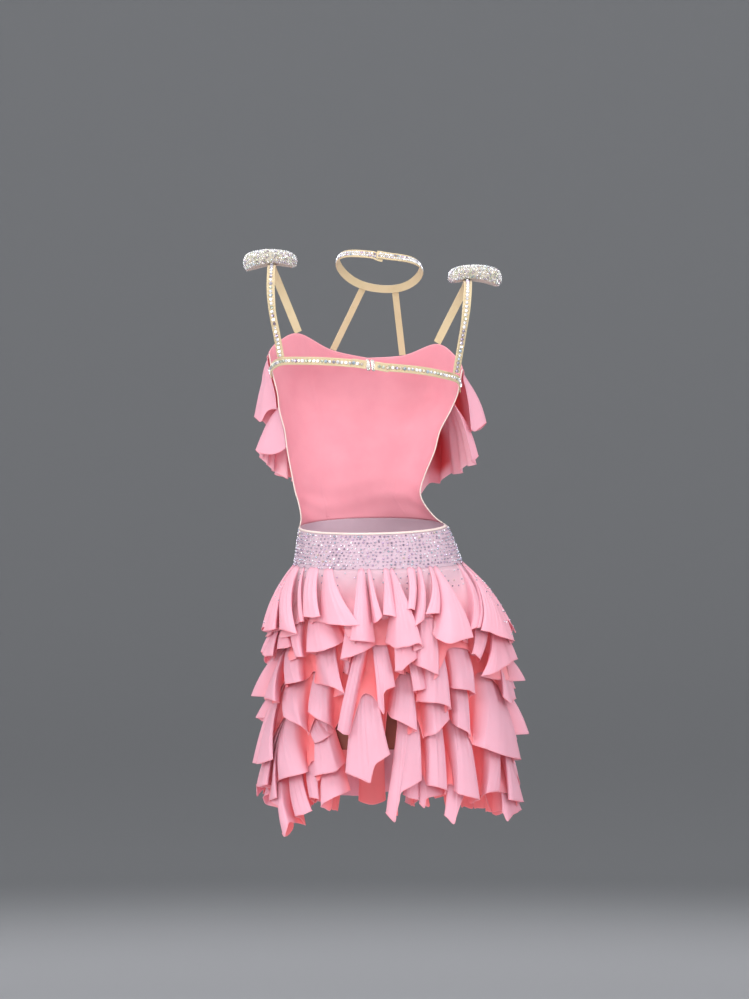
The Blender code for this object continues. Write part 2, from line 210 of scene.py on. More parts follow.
def bead(name, line, radius, ring=False, sides=6):
    """A round edge along a line of points."""
    line = np.asarray(line, float)
    if ring:
        run = np.roll(line, -1, 0) - np.roll(line, 1, 0)
    else:
        run = np.gradient(line, axis=0)
    run /= np.maximum(np.linalg.norm(run, axis=1, keepdims=True), 1e-9)
    aside = np.cross(run, (0.12, 0.1, 1.0))
    aside /= np.maximum(np.linalg.norm(aside, axis=1, keepdims=True), 1e-9)
    other = np.cross(run, aside)
    turn = np.arange(sides) * 2 * math.pi / sides
    points = line[:, None] + radius * (np.cos(turn)[None, :, None] * aside[:, None] + np.sin(turn)[None, :, None] * other[:, None])
    count = len(line)
    faces = []
    for i in range(count if ring else count - 1):
        j = (i + 1) % count
        for s in range(sides):
            r = (s + 1) % sides
            faces.append([i * sides + s, i * sides + r, j * sides + r, j * sides + s])
    if not ring:
        faces.append(list(range(sides))[::-1])
        faces.append([(count - 1) * sides + s for s in range(sides)])
    made = mesh_object(name, points.reshape(-1, 3), faces)
    fix_normals(made)
    return made


def fix_normals(obj):
    mesh = bmesh.new()
    mesh.from_mesh(obj.data)
    bmesh.ops.recalc_face_normals(mesh, faces=mesh.faces)
    mesh.to_mesh(obj.data)
    mesh.free()


def join(name, objects):
    """One object from several meshes with the same material."""
    bpy.ops.object.select_all(action="DESELECT")
    for o in objects:
        for modifier in list(o.modifiers):
            bpy.context.view_layer.objects.active = o
            bpy.ops.object.modifier_apply(modifier=modifier.name)
        o.select_set(True)
    bpy.context.view_layer.objects.active = objects[0]
    bpy.ops.object.join()
    made = bpy.context.view_layer.objects.active
    made.name = made.data.name = name
    made.select_set(False)
    return made


def catmull(points, steps, ring=False):
    """Points (n, k) sampled on a smooth curve, steps to a stretch."""
    points = np.asarray(points, float)
    n = len(points)
    if ring:
        index = np.arange(n)
        p0, p1, p2, p3 = points[index - 1], points[index], points[(index + 1) % n], points[(index + 2) % n]
    else:
        index = np.arange(n - 1)
        p0, p1, p2, p3 = points[np.maximum(index - 1, 0)], points[index], points[index + 1], points[np.minimum(index + 2, n - 1)]
    t = (np.arange(steps) / steps)[None, :, None]
    p0, p1, p2, p3 = (p[:, None, :] for p in (p0, p1, p2, p3))
    found = 0.5 * (2 * p1 + (p2 - p0) * t + (2 * p0 - 5 * p1 + 4 * p2 - p3) * t**2 + (3 * p1 - p0 - 3 * p2 + p3) * t**3)
    found = found.reshape(-1, points.shape[1])
    return found if ring else np.concatenate([found, points[-1:]])


# ---------------------------------------------------------------- folds
# The back of the skirt is laid out on a grid of 1.5 mm squares, counted from the left and from the top of the back
# view. Seen from 4.5 m away, what is nearer than the middle of the body looks a little larger, so place() allows for it.
GRID, GRID_X, GRID_Y = 1.5, 379.5, 256.0
VIEW_Y, VIEW_X, VIEW_Z, VIEW_PLANE = 4500.0, 7.5, -365.25, 60.0
REACH, EASE = 118.0, 138.0
BASE = WALL + SEAM + 0.5
TURN = np.arange(-100.0, 100.5, 0.5)


def spread(dz, reach=REACH, ease=EASE):
    dz = np.maximum(dz, 0)
    return reach * dz / (dz + ease)


def place(across, down, share, seam_z, reach=REACH, ease=EASE):
    """(angle, z, off) of a point of the back view, for cloth that stands out by this share of the full fold there."""
    y = 140.0
    for _ in range(5):
        k = VIEW_Y / (VIEW_Y + VIEW_PLANE - y)
        x = VIEW_X + ((GRID_X - across) * GRID - VIEW_X) / k
        z = VIEW_Z + ((GRID_Y - down) * GRID - VIEW_Z) / k
        off = BASE + share * float(spread(seam_z - z, reach, ease))
        line = on_figure(TURN, z, off)
        most, least = line[:, 0].max(), line[:, 0].min()
        if share < 0.6:  # cloth that lies deep stays deep at the sides too
            x = min(max(x, least + 3.0), most - 3.0)
        elif x > most - 0.5:
            off += x - most + 0.5
        elif x < least + 0.5:
            off += least + 0.5 - x
        line = on_figure(TURN, z, off)
        low, high = int(line[:, 0].argmin()), int(line[:, 0].argmax())
        angle = float(np.interp(x, line[low : high + 1, 0], TURN[low : high + 1]))
        y = float(on_figure(angle, z, off)[1])
    return angle, z, off


# How far out a face stands, from its middle to its edge. A sharp edge (S) turns under with a fold of its own, and a
# gentle one (G) runs back into the hollow beside it.
FACE = {"S": ((0.0, 1.0), (0.4, 0.99), (0.75, 0.95), (1.0, 0.86)), "G": ((0.0, 1.0), (0.35, 0.94), (0.7, 0.66), (1.0, 0.24))}


def face_share(u, kind):
    rows = FACE[kind[0] if u < 0 else kind[1]]
    return float(np.interp(abs(u), [r[0] for r in rows], [r[1] for r in rows]))


def face_points(points):
    """Places along a fold's hem: (u, x, y), with the given points kept and others put between them."""
    points = np.array(points, float)
    run = np.concatenate([[0], np.cumsum(np.hypot(*np.diff(points, axis=0).T))])
    if run[-1] <= 0:
        run = np.arange(len(points), dtype=float)
    u = run / run[-1] * 2 - 1
    more = [v for v in (-0.75, -0.4, 0.0, 0.4, 0.75) if abs(u - v).min() > 0.16]
    full = np.sort(np.concatenate([u, more]))
    return [(v, float(np.interp(v, u, points[:, 0])), float(np.interp(v, u, points[:, 1]))) for v in full]


def back_fold(seam_z, apex, half, kind, depth, *points):
    """Samples of one fold from left to right: (seam angle, hem angle, z, off, share)."""
    found = []
    faces = face_points(points)
    wide = min(abs(points[-1][0] - points[0][0]), 34)

    def seam_angle(u):
        return place(apex + u * half, GRID_Y - seam_z / GRID, 0.0, seam_z)[0]

    def add(u, x, y, share):
        angle, z, off = place(x, y, share * depth, seam_z)
        found.append((seam_angle(u), angle, z, off, share))

    if kind[0] == "S":
        add(-1.25, points[0][0] + 0.36 * wide, points[0][1] + 3.0, 0.2)
        add(-1.12, points[0][0] + 0.12 * wide, points[0][1] + 1.2, 0.55)
    for u, x, y in faces:
        add(u, x, y, face_share(u, kind))
    if kind[1] == "S":
        add(1.12, points[-1][0] - 0.12 * wide, points[-1][1] + 1.2, 0.55)
        add(1.25, points[-1][0] - 0.36 * wide, points[-1][1] + 3.0, 0.2)
    return found


def side_fold(seam_z, apex, half, kind, depth, points, reach=REACH, ease=EASE):
    """The same for a fold given by angles: points of (angle, z), by falling angle."""
    found = []
    wide = min(abs(points[-1][0] - points[0][0]), 24)

    def add(u, angle, z, share):
        found.append((apex - u * half, angle, z, BASE + share * depth * float(spread(seam_z - z, reach, ease)), share))

    scaled = [(-a * 1.6, z / 1.5) for a, z in points]
    if kind[0] == "S":
        add(-1.25, points[0][0] - 0.36 * wide, points[0][1] - 4.5, 0.2)
        add(-1.12, points[0][0] - 0.12 * wide, points[0][1] - 1.8, 0.55)
    for u, x, y in face_points(scaled):
        add(u, -x / 1.6, y * 1.5, face_share(u, kind))
    if kind[1] == "S":
        add(1.12, points[-1][0] + 0.12 * wide, points[-1][1] - 1.8, 0.55)
        add(1.25, points[-1][0] + 0.36 * wide, points[-1][1] - 4.5, 0.2)
    return found


def hem_line(folds, ring, seam_z, drop=5.0, most_lift=0.6):
    """All samples of a tier's hem, by falling angle, with a hollow between each pair of folds.

    A narrow hollow hangs as low as the corners beside it, and a wide one is drawn up out of sight.
    """
    line = []
    count = len(folds)
    for i, fold in enumerate(folds):
        line += fold
        if i == count - 1 and not ring:
            break
        after = np.array(folds[(i + 1) % count][0])
        before = np.array(fold[-1])
        if i == count - 1:
            after[:2] -= 360
        low = min(before[2], after[2]) * 0.5 + (before[2] + after[2]) * 0.25 - drop
        gap = before[1] - after[1]
        facing_back = float(np.clip((math.cos(math.radians((before[1] + after[1]) / 2)) - 0.15) / 0.2, 0, 1))
        lift = float(np.clip((gap - 4.0) / 7.0, 0, 1)) * most_lift * facing_back
        low = low + (seam_z - low) * lift
        places = ((0.2, 0.35), (0.8, 0.65)) if lift < 0.1 else ((0.15, 0.16), (0.35, 0.36), (0.65, 0.64), (0.85, 0.84))
        for share, across in places:
            top = before[0] + (after[0] - before[0]) * share
            hem = before[1] + (after[1] - before[1]) * across
            edge = lift >= 0.1 and share in (0.15, 0.85)
            beside = before[2] if share < 0.5 else after[2]
            line.append((top, hem, beside * 0.5 + low * 0.5 if edge else low, BASE, 0.0))
    return np.array(line)


def drape(line, seam, ring, under=None, steps=4, rows=16, form=None, k=0, crease=1.0, reach=REACH, ease=EASE, flat_start=False):
    """The cloth between the seam and this hem line: points (rows, columns, 3), and each point's share and way down."""
    line = line[::-1]
    if ring:
        turn = np.array([360.0, 360.0, 0, 0, 0])
        full = np.concatenate([line[-2:] - turn, line, line[:3] + turn])
        fine = catmull(full, steps)[2 * steps : (2 + len(line)) * steps]
    else:
        fine = catmull(line, steps)
    top, hem, z, out, share = fine.T
    start = seam(top)
    t = np.concatenate([np.linspace(0, 1, rows - 1)[:-1] ** 1.1, (0.986, 1.0)])[:, None]  # a short last row keeps the hem crisp
    angle = top + (hem - top) * t
    level = start + (z - start) * t
    dz = start - level
    share = np.clip(share, 0, 1.05) * np.ones_like(t)
    grow = spread(dz, reach, ease) / np.maximum(spread(start - z, reach, ease), 1e-6)
    off = BASE + (1 - share) * np.minimum(0.05 * dz, 3.0) + (out - BASE) * grow
    if flat_start:  # it lies on the cloth above, and the heads of its folds reach a little higher
        lap = (1.0 + 2.6 * np.clip((share - 0.5) / 0.5, 0, 1) ** 2 + 0.5 * np.sin(0.9 * top)) * (1 - t) ** 3
        level = level + lap
        off = off - (BASE - 1.1) * np.exp(-((dz / 5.0) ** 2))
    # soft creases that run down the folds, and a slight wave across them
    off = off + crease * (0.55 * np.sin(1.9 * hem + 0.8 * k) + 0.4 * np.sin(4.3 * hem + 1.3 * k)) * np.sin(math.pi * np.clip(t, 0, 1)) ** 0.8 * share
    off = off + crease * 1.3 * np.sin(0.33 * hem + 4.6 * t + 1.1 * k) * t * share
    angle = angle + crease * 0.35 * np.sin(0.13 * hem + 3.1 * t + 1.7 * k) * t
    if under is not None:
        off = np.maximum(off, under_at(under, angle, level) + 1.3)
    return on_figure(angle, level, off, form), angle, level, off, share, t


# The outermost cloth so far, as an offset from the figure for each degree and each 3 mm of height.
ENV_Z = np.arange(-912.0, -455.0, 3.0)


def new_under():
    return np.full((len(ENV_Z), 360), -5.0)


def add_under(under, angle, level, off):
    for fine_a in (0.0, 0.5):
        for fine_b in (0.0, 0.5):
            a = angle[:-1, :-1] * (1 - fine_a) * (1 - fine_b) + angle[1:, :-1] * fine_a * (1 - fine_b) + angle[:-1, 1:] * (1 - fine_a) * fine_b + angle[1:, 1:] * fine_a * fine_b
            l = level[:-1, :-1] * (1 - fine_a) * (1 - fine_b) + level[1:, :-1] * fine_a * (1 - fine_b) + level[:-1, 1:] * (1 - fine_a) * fine_b + level[1:, 1:] * fine_a * fine_b
            o = off[:-1, :-1] * (1 - fine_a) * (1 - fine_b) + off[1:, :-1] * fine_a * (1 - fine_b) + off[:-1, 1:] * (1 - fine_a) * fine_b + off[1:, 1:] * fine_a * fine_b
            i = np.clip(np.round((l - ENV_Z[0]) / 3.0).astype(int), 0, len(ENV_Z) - 1)
            j = np.round(a).astype(int) % 360
            np.maximum.at(under, (i, j), o)
    return under


def soften(under):
    grown = under.copy()
    for shift in (-1, 1):
        grown = np.maximum(grown, np.roll(under, shift, 1))
    tall = grown.copy()
    tall[1:] = np.maximum(tall[1:], grown[:-1])
    tall[:-1] = np.maximum(tall[:-1], grown[1:])
    soft = (np.roll(tall, 1, 1) + 2 * tall + np.roll(tall, -1, 1)) / 4
    soft[1:-1] = (soft[:-2] + 2 * soft[1:-1] + soft[2:]) / 4
    return np.maximum(soft, under)


def under_at(under, angle, level):
    i = np.clip((level - ENV_Z[0]) / 3.0, 0, len(ENV_Z) - 1.001)
    j = angle % 360
    i0, j0 = i.astype(int), j.astype(int)
    fi, fj = i - i0, j - j0
    j1 = (j0 + 1) % 360
    j0 = j0 % 360
    return (
        under[i0, j0] * (1 - fi) * (1 - fj)
        + under[i0 + 1, j0] * fi * (1 - fj)
        + under[i0, j1] * (1 - fi) * fj
        + under[i0 + 1, j1] * fi * fj
    )


# Each tier: its seam's height, and its folds at the back from left to right. A fold is the place of its point on the
# seam, half its width there, the kinds of its two edges, its depth, and then its hem from corner to corner.
TIERS = {
    "skirt_tier_1": (-470, (
        (289, 3.5, "SG", 1.0, (264, 631), (271, 630), (281, 627)),
        (296, 4.0, "SS", 1.0, (279, 629), (288, 631), (298, 634)),
        (303.3, 1.2, "SS", 0.7, (300, 622), (305, 621)),
        (313.5, 6.5, "SS", 1.0, (304, 616.5), (313, 617.5), (321, 616)),
        (328, 6.0, "GS", 1.0, (320, 621), (330, 624), (345, 625.5), (359.5, 625)),
        (361.5, 5.0, "SG", 0.92, (349, 640), (362, 641), (375, 642.5)),
        (368.5, 2.2, "GS", 0.95, (372, 624), (377, 621.5), (382.3, 616)),
        (386, 3.8, "SG", 1.0, (383, 614.5), (391, 615.5), (401, 618.5)),
        (391.5, 2.5, "GS", 0.9, (385, 642), (396, 648), (410, 646), (419, 643), (424, 647)),
        (411, 4.8, "SS", 0.95, (408, 609), (411.5, 608.5), (415.5, 610)),
        (419, 3.0, "GS", 0.85, (409, 627), (416, 626), (425, 619)),
        (431.5, 2.2, "SS", 0.95, (426, 614), (432, 613.5), (439, 613)),
        (436, 3.5, "GS", 1.0, (429, 632), (438, 639), (449, 643.5), (461, 640), (473, 637)),
        (460.8, 1.5, "GS", 0.8, (463, 636), (470, 630), (482, 624)),
        (465.5, 1.5, "GS", 0.85, (473, 628), (482, 627)),
        (470, 3.5, "SS", 1.0, (480, 630), (490, 632), (500, 636), (514, 641)),
    )),
    "skirt_tier_2": (-520, (
        (272, 3.0, "SS", 1.0, (262, 652), (265, 656), (274, 655.5)),
        (287, 5.0, "SG", 0.9, (277, 649), (285, 648), (295.5, 644.5)),
        (302, 3.0, "SG", 1.0, (295.5, 657), (306, 656.5)),
        (321, 5.0, "SG", 1.0, (306.5, 651.5), (315, 652), (325, 650), (336, 646), (347, 640)),
        (357, 4.0, "SG", 0.95, (341, 659), (351.6, 656.5), (363.7, 651.5), (374.5, 645)),
        (399, 4.0, "SG", 0.9, (394, 671), (402, 670), (407, 665), (416, 658.5), (424, 653)),
        (420, 4.0, "GS", 0.95, (410, 663), (424, 668), (439.7, 675)),
        (472, 3.0, "SS", 0.9, (471.5, 654), (475, 654), (479.5, 659)),
        (488, 7.0, "SS", 1.0, (480.5, 676), (489, 674.3), (498, 671), (508, 664.5), (516.8, 658.4)),
    )),
    "skirt_tier_3": (-570, (
        (268, 3.0, "SG", 1.0, (252, 696), (259.5, 695.3), (265, 690.5)),
        (279, 4.0, "SG", 0.95, (265.5, 698), (273.5, 700.5), (282, 702.5)),
        (298, 4.5, "SG", 1.0, (286, 684), (295, 682.5), (306.5, 679.5)),
        (325, 5.0, "GS", 1.0, (317, 683), (328, 685.7), (336, 688.3), (345, 693.5)),
        (351, 3.0, "GG", 0.5, (343, 671), (352, 677.5)),
        (363, 3.0, "SG", 1.0, (337.6, 729), (344, 734), (354, 735.5)),
        (378.5, 3.5, "SS", 1.0, (378.5, 706), (384.5, 714), (384, 694), (388, 689), (395, 686.5)),
        (410, 3.5, "SG", 0.95, (412.5, 691), (421, 689.5), (429.5, 686.5)),
        (430, 4.0, "GS", 1.0, (413.4, 701), (425, 702), (438, 703), (446, 705), (451.5, 708.5)),
        (452, 5.0, "GS", 0.95, (446.7, 685.5), (453.5, 688.3), (462, 689), (470, 690.3), (476, 693.8)),
        (500, 3.0, "GS", 0.9, (497, 691), (510.5, 703.6), (515.6, 698)),
        (507, 2.5, "GS", 1.05, (511, 679), (517, 680), (523.9, 680.5)),
    )),
    "skirt_tier_4": (-622, (
        (266, 2.5, "SS", 1.0, (256.5, 717.6), (262, 721)),
        (273, 4.0, "SS", 0.95, (253, 763), (259, 763.7), (272.5, 759)),
        (298, 5.0, "SG", 1.0, (283.3, 715.7), (291, 720.8), (302.4, 726.6), (312.6, 735)),
        (325, 5.0, "SG", 1.0, (308.8, 711.5), (317, 718.3), (328, 724), (335, 728)),
        (366, 4.0, "SS", 1.0, (345, 772.3), (357, 777.5), (370, 783), (375.5, 765), (383, 759.5), (391, 753.8)),
        (402, 4.5, "GS", 1.0, (387.3, 712), (392.4, 717.6), (402, 722), (417.5, 730.5)),
        (431, 4.5, "GS", 0.95, (421, 737), (433, 734.3), (438, 731), (449, 719)),
        (454, 4.0, "GS", 1.0, (449, 721), (457, 726.6), (466.5, 731.5), (470.3, 736)),
        (484, 6.0, "GS", 1.0, (467, 740.5), (471, 743.8), (489, 749.5), (501.5, 754.6), (520.5, 759.7)),
        (509, 3.0, "GS", 1.05, (515, 728.5), (521, 731), (528, 734)),
    )),
    "skirt_tier_5": (-676, (
        (267, 3.0, "SS", 1.0, (257.8, 786.7), (269, 784)),
        (276, 3.0, "SG", 0.9, (270.8, 800), (280, 796)),
        (293, 5.5, "SG", 1.0, (278.5, 780), (289.5, 776.8), (304.3, 773), (313, 768.5)),
        (312, 2.5, "SG", 1.0, (314.3, 743.3), (321.5, 740.6), (334.3, 732.3)),
        (325, 5.0, "SG", 0.85, (314.5, 776), (321.5, 774), (334.5, 771.5), (346.5, 761)),
        (408, 4.5, "SS", 1.0, (385.4, 812.5), (394.3, 822), (401.5, 792), (414.7, 785), (422.7, 779.5)),
        (430, 4.0, "GS", 1.0, (423.5, 782), (428, 785), (437, 786.5), (447.3, 790)),
        (452, 4.5, "GS", 1.0, (448.3, 785.8), (459, 794), (468.7, 796.7), (479, 799.3)),
        (484, 4.0, "GS", 0.95, (479.5, 796), (488, 792.8), (499.3, 791)),
        (505, 4.0, "GS", 1.0, (502.5, 799), (513.3, 800), (522.5, 802)),
    )),
    "skirt_tier_6": (-730, (
        (276, 3.0, "SG", 1.0, (270.8, 800.7), (277, 806), (285, 810.7)),
        (291, 2.5, "SG", 1.0, (282, 833), (285, 836.5), (290, 822), (299, 823)),
        (300, 4.0, "SS", 1.0, (296, 815.7), (304, 814.5), (312.3, 810.5)),
        (314, 3.0, "SS", 0.95, (309.5, 797), (314, 798), (320, 799)),
        (332, 5.0, "SG", 1.0, (321.5, 806.5), (324, 803), (334.3, 797), (350.5, 790)),
        (413, 4.0, "SS", 0.9, (402, 794), (408.3, 797.8), (418.5, 799.8)),
        (424, 3.0, "SG", 0.9, (419, 803), (424.3, 808), (427.5, 798), (440, 795), (448, 791)),
        (455, 4.0, "SS", 1.0, (444.5, 814.5), (454.3, 824), (464, 796)),
        (509, 4.0, "SS", 1.0, (501.5, 811), (506.3, 821), (520.4, 809)),
    )),
}
OPEN = {"skirt_tier_5": 5, "skirt_tier_6": 5}  # the first fold to the right of the slit at the centre back
FRONT_FOLDS = 11


def front_row(seam_z, high, low, count, hem, drop, k):
    """Folds out of sight of the back view, from high to low angle, in the same manner."""
    made = []
    pitch = (high - low) / count
    for i in range(count):
        middle = high - (i + 0.5) * pitch + 0.14 * pitch * wobble(i, k)
        wide = pitch * (0.5 + 0.14 * wobble(i + 7, k))
        z = hem + drop * wobble(i, k + 3)
        slope = drop * (0.7 + 0.6 * wobble(i + 3, k)) * (1 if middle > -180 else -1)
        kind = ("SG" if middle < -180 else "GS") if wobble(i + 2, k) > -0.6 else "SS"
        points = [(middle + wide, z + slope), (middle + 0.2 * wide, z - 2), (middle - wide, z - slope)]
        if wobble(i + 11, k) > 0.45:
            points.insert(1, (middle + 0.55 * wide, z - 14 + 0.4 * slope))
        apex = middle + 0.1 * wide * wobble(i + 5, k)
        made.append(side_fold(seam_z, apex, pitch * 0.17, kind, 0.95 + 0.07 * wobble(i + 5, k), points))
    return made


# ---------------------------------------------------------------- materials
def new_material(name):
    made = bpy.data.materials.new(name)
    made.use_nodes = True
    tree = made.node_tree
    return made, tree, tree.nodes["Principled BSDF"], tree.nodes["Material Output"]


def node(tree, kind, **values):
    made = tree.nodes.new(kind)
    for key, value in values.items():
        if key in made.inputs:
            made.inputs[key].default_value = value
        else:
            setattr(made, key, value)
    return made


def fabric(name, colour, deep, glow, hollow=None, seam_shade=None, roughness=0.7, sheen=0.12, thin=0.22, grain=1400.0, ribs=None, bump=0.25, steer="share", crown=0.85, lift=0.0):
    """Cloth: a soft mottle between two tones, a fine grain in the bump, sheen, and a little light let through; where a
    hollow colour is given, painted shade in the hollows and near the seam, and with lift a painted glow in the hollows.
    """
    made, tree, shader, output = new_material(name)
    place = node(tree, "ShaderNodeTexCoord")
    mottle = node(tree, "ShaderNodeTexNoise", Scale=26.0, Detail=4.0, Roughness=0.55)
    tree.links.new(place.outputs["Object"], mottle.inputs["Vector"])
    ramp = node(tree, "ShaderNodeValToRGB")
    ramp.color_ramp.elements[0].position, ramp.color_ramp.elements[1].position = 0.32, 0.68
    ramp.color_ramp.elements[0].color = (*deep, 1)
    ramp.color_ramp.elements[1].color = (*colour, 1)
    tree.links.new(mottle.outputs["Fac"], ramp.inputs["Fac"])
    tone = ramp.outputs["Color"]
    if hollow is not None:
        # Painted shade: where the cloth lies back in a hollow (low share), the base colour is mixed toward a deeper
        # coral, standing in for light that reaches a hollow after passing through cloth or bouncing off it.
        share = node(tree, "ShaderNodeAttribute", attribute_name=steer)
        way = node(tree, "ShaderNodeAttribute", attribute_name="way")
        out = node(tree, "ShaderNodeMapRange", interpolation_type="SMOOTHSTEP")
        out.inputs["From Min"].default_value, out.inputs["From Max"].default_value = 0.05, crown
        tree.links.new(share.outputs["Fac"], out.inputs["Value"])
        mix = node(tree, "ShaderNodeMix", data_type="RGBA")
        mix.inputs[6].default_value = (*hollow, 1)
        tree.links.new(out.outputs["Result"], mix.inputs[0])
        tree.links.new(tone, mix.inputs[7])
        # Painted shade near the seam: where way is low (the top of the first tier) and the cloth lies back in a hollow,
        # the colour is mixed toward the darker seam shade.
        near = node(tree, "ShaderNodeMapRange")
        near.inputs["From Min"].default_value, near.inputs["From Max"].default_value = 0.1, 0.5
        near.inputs["To Min"].default_value, near.inputs["To Max"].default_value = 1.0, 0.0
        tree.links.new(way.outputs["Fac"], near.inputs["Value"])
        last = node(tree, "ShaderNodeMix", data_type="RGBA")
        last.inputs[7].default_value = (*seam_shade, 1)
        flat = node(tree, "ShaderNodeMath", operation="SUBTRACT")
        flat.inputs[0].default_value = 1.0
        tree.links.new(out.outputs["Result"], flat.inputs[1])
        both_near = node(tree, "ShaderNodeMath", operation="MULTIPLY")
        tree.links.new(near.outputs["Result"], both_near.inputs[0])
        tree.links.new(flat.outputs["Value"], both_near.inputs[1])
        tree.links.new(both_near.outputs["Value"], last.inputs[0])
        tree.links.new(mix.outputs[2], last.inputs[6])
        tone = last.outputs[2]
        # Painted glow: the shader emits the hollow colour, more the deeper the cloth lies in a hollow, standing in for
        # light bounced into the hollows.
        if lift:
            bounce = node(tree, "ShaderNodeMath", operation="MULTIPLY")
            bounce.inputs[1].default_value = lift
            tree.links.new(flat.outputs["Value"], bounce.inputs[0])
            tree.links.new(bounce.outputs["Value"], shader.inputs["Emission Strength"])
            shader.inputs["Emission Color"].default_value = (*hollow, 1)
    tree.links.new(tone, shader.inputs["Base Color"])
    shader.inputs["Roughness"].default_value = roughness
    shader.inputs["Sheen Weight"].default_value = sheen
    shader.inputs["Sheen Roughness"].default_value = 0.45
    shader.inputs["Sheen Tint"].default_value = (1.0, 0.72, 0.80, 1)
    shader.inputs["Specular IOR Level"].default_value = 0.16
    fine = node(tree, "ShaderNodeTexNoise", Scale=grain, Detail=2.0, Roughness=0.6)
    tree.links.new(place.outputs["Object"], fine.inputs["Vector"])
    height = fine.outputs["Fac"]
    weave = node(tree, "ShaderNodeUVMap", uv_map="cloth")
    twill = node(tree, "ShaderNodeTexWave", wave_type="BANDS", bands_direction="DIAGONAL" if ribs is None else "X", Scale=(520.0 if ribs is None else ribs), Distortion=0.6, Detail=1.0)
    tree.links.new(weave.outputs["UV"], twill.inputs["Vector"])
    both = node(tree, "ShaderNodeMath", operation="MULTIPLY_ADD")
    both.inputs[1].default_value = 0.45 if ribs is None else 1.1
    tree.links.new(twill.outputs["Fac"], both.inputs[0])
    tree.links.new(height, both.inputs[2])
    relief = node(tree, "ShaderNodeBump", Strength=bump, Distance=0.00025)
    tree.links.new(both.outputs["Value"], relief.inputs["Height"])
    tree.links.new(relief.outputs["Normal"], shader.inputs["Normal"])
    if thin:
        through = node(tree, "ShaderNodeBsdfTranslucent", Color=(*glow, 1))
        tree.links.new(relief.outputs["Normal"], through.inputs["Normal"])
        mixed = node(tree, "ShaderNodeMixShader")
        mixed.inputs["Fac"].default_value = thin
        tree.links.new(shader.outputs["BSDF"], mixed.inputs[1])
        tree.links.new(through.outputs["BSDF"], mixed.inputs[2])
        tree.links.new(mixed.outputs["Shader"], output.inputs["Surface"])
    return made


def stone_look(name, metallic, roughness):
    made, tree, shader, _ = new_material(name)
    tone = node(tree, "ShaderNodeAttribute", attribute_name="tone")
    tree.links.new(tone.outputs["Color"], shader.inputs["Base Color"])
    shader.inputs["Metallic"].default_value = metallic
    shader.inputs["Roughness"].default_value = roughness
    shader.inputs["Coat Weight"].default_value = 0.6
    shader.inputs["Coat Roughness"].default_value = 0.03
    return made


def metal_look(name):
    made, tree, shader, _ = new_material(name)
    place = node(tree, "ShaderNodeTexCoord")
    scratch = node(tree, "ShaderNodeTexNoise", Scale=900.0, Detail=3.0)
    tree.links.new(place.outputs["Object"], scratch.inputs["Vector"])
    rough = node(tree, "ShaderNodeMapRange")
    rough.inputs["To Min"].default_value, rough.inputs["To Max"].default_value = 0.14, 0.34
    tree.links.new(scratch.outputs["Fac"], rough.inputs["Value"])
    tree.links.new(rough.outputs["Result"], shader.inputs["Roughness"])
    shader.inputs["Base Color"].default_value = (0.53, 0.51, 0.47, 1)
    shader.inputs["Metallic"].default_value = 1.0
    return made


# One pink crepe in several copies: the first tier (PINK_TOP) lightest, the second (PINK_MID) a little darker, the lower
# tiers and bust ruffles (PINK) darker still. The steps are painted shade for light falling off down the skirt, and each
# copy's hollow colour and lift are painted shade and painted glow in the hollows.
PINK = fabric("pink_crepe_look", (0.865, 0.56, 0.68), (0.85, 0.53, 0.645), (1.0, 0.36, 0.38), hollow=(1.0, 0.34, 0.36), seam_shade=(0.85, 0.66, 0.76), thin=0.36, crown=1.0, lift=0.09)
PINK_TOP = fabric("top_pink_crepe_look", (0.97, 0.60, 0.72), (0.955, 0.57, 0.685), (1.0, 0.36, 0.38), hollow=(0.98, 0.61, 0.70), seam_shade=(0.74, 0.575, 0.655), thin=0.36, lift=0.02)
PINK_MID = fabric("middle_pink_crepe_look", (0.93, 0.585, 0.705), (0.915, 0.555, 0.67), (1.0, 0.36, 0.38), hollow=(1.0, 0.43, 0.47), seam_shade=(0.85, 0.66, 0.76), thin=0.36, crown=0.92, lift=0.08)
# The bodice front: the same pink crepe, given a deeper coral as painted shade, so its inside seen through the open back
# reads as shaded.
BODICE = fabric("pink_bodice_painted_shade_look", (0.88, 0.385, 0.455), (0.84, 0.35, 0.42), (1.0, 0.3, 0.3), thin=0.15)
# The inner side of the bust ruffles: the same crepe in a lighter copy, painted light for the shaded inside, with a dark
# red painted shade where the lit attribute falls.
INSIDE = fabric("pink_ruffle_inside_painted_look", (1.0, 0.68, 0.77), (0.99, 0.65, 0.74), (1.0, 0.45, 0.48), hollow=(0.62, 0.045, 0.05), seam_shade=(0.62, 0.045, 0.05), thin=0.3, steer="lit")
HEM = fabric("pink_hem_look", (0.97, 0.47, 0.54), (0.95, 0.45, 0.52), (1.0, 0.45, 0.47), thin=0.25, bump=0.0, sheen=0.0)
YOKE = fabric("yoke_jersey_look", (0.62, 0.455, 0.525), (0.57, 0.41, 0.48), (0.8, 0.45, 0.5), roughness=0.5, sheen=0.3, thin=0.06, grain=1800.0)
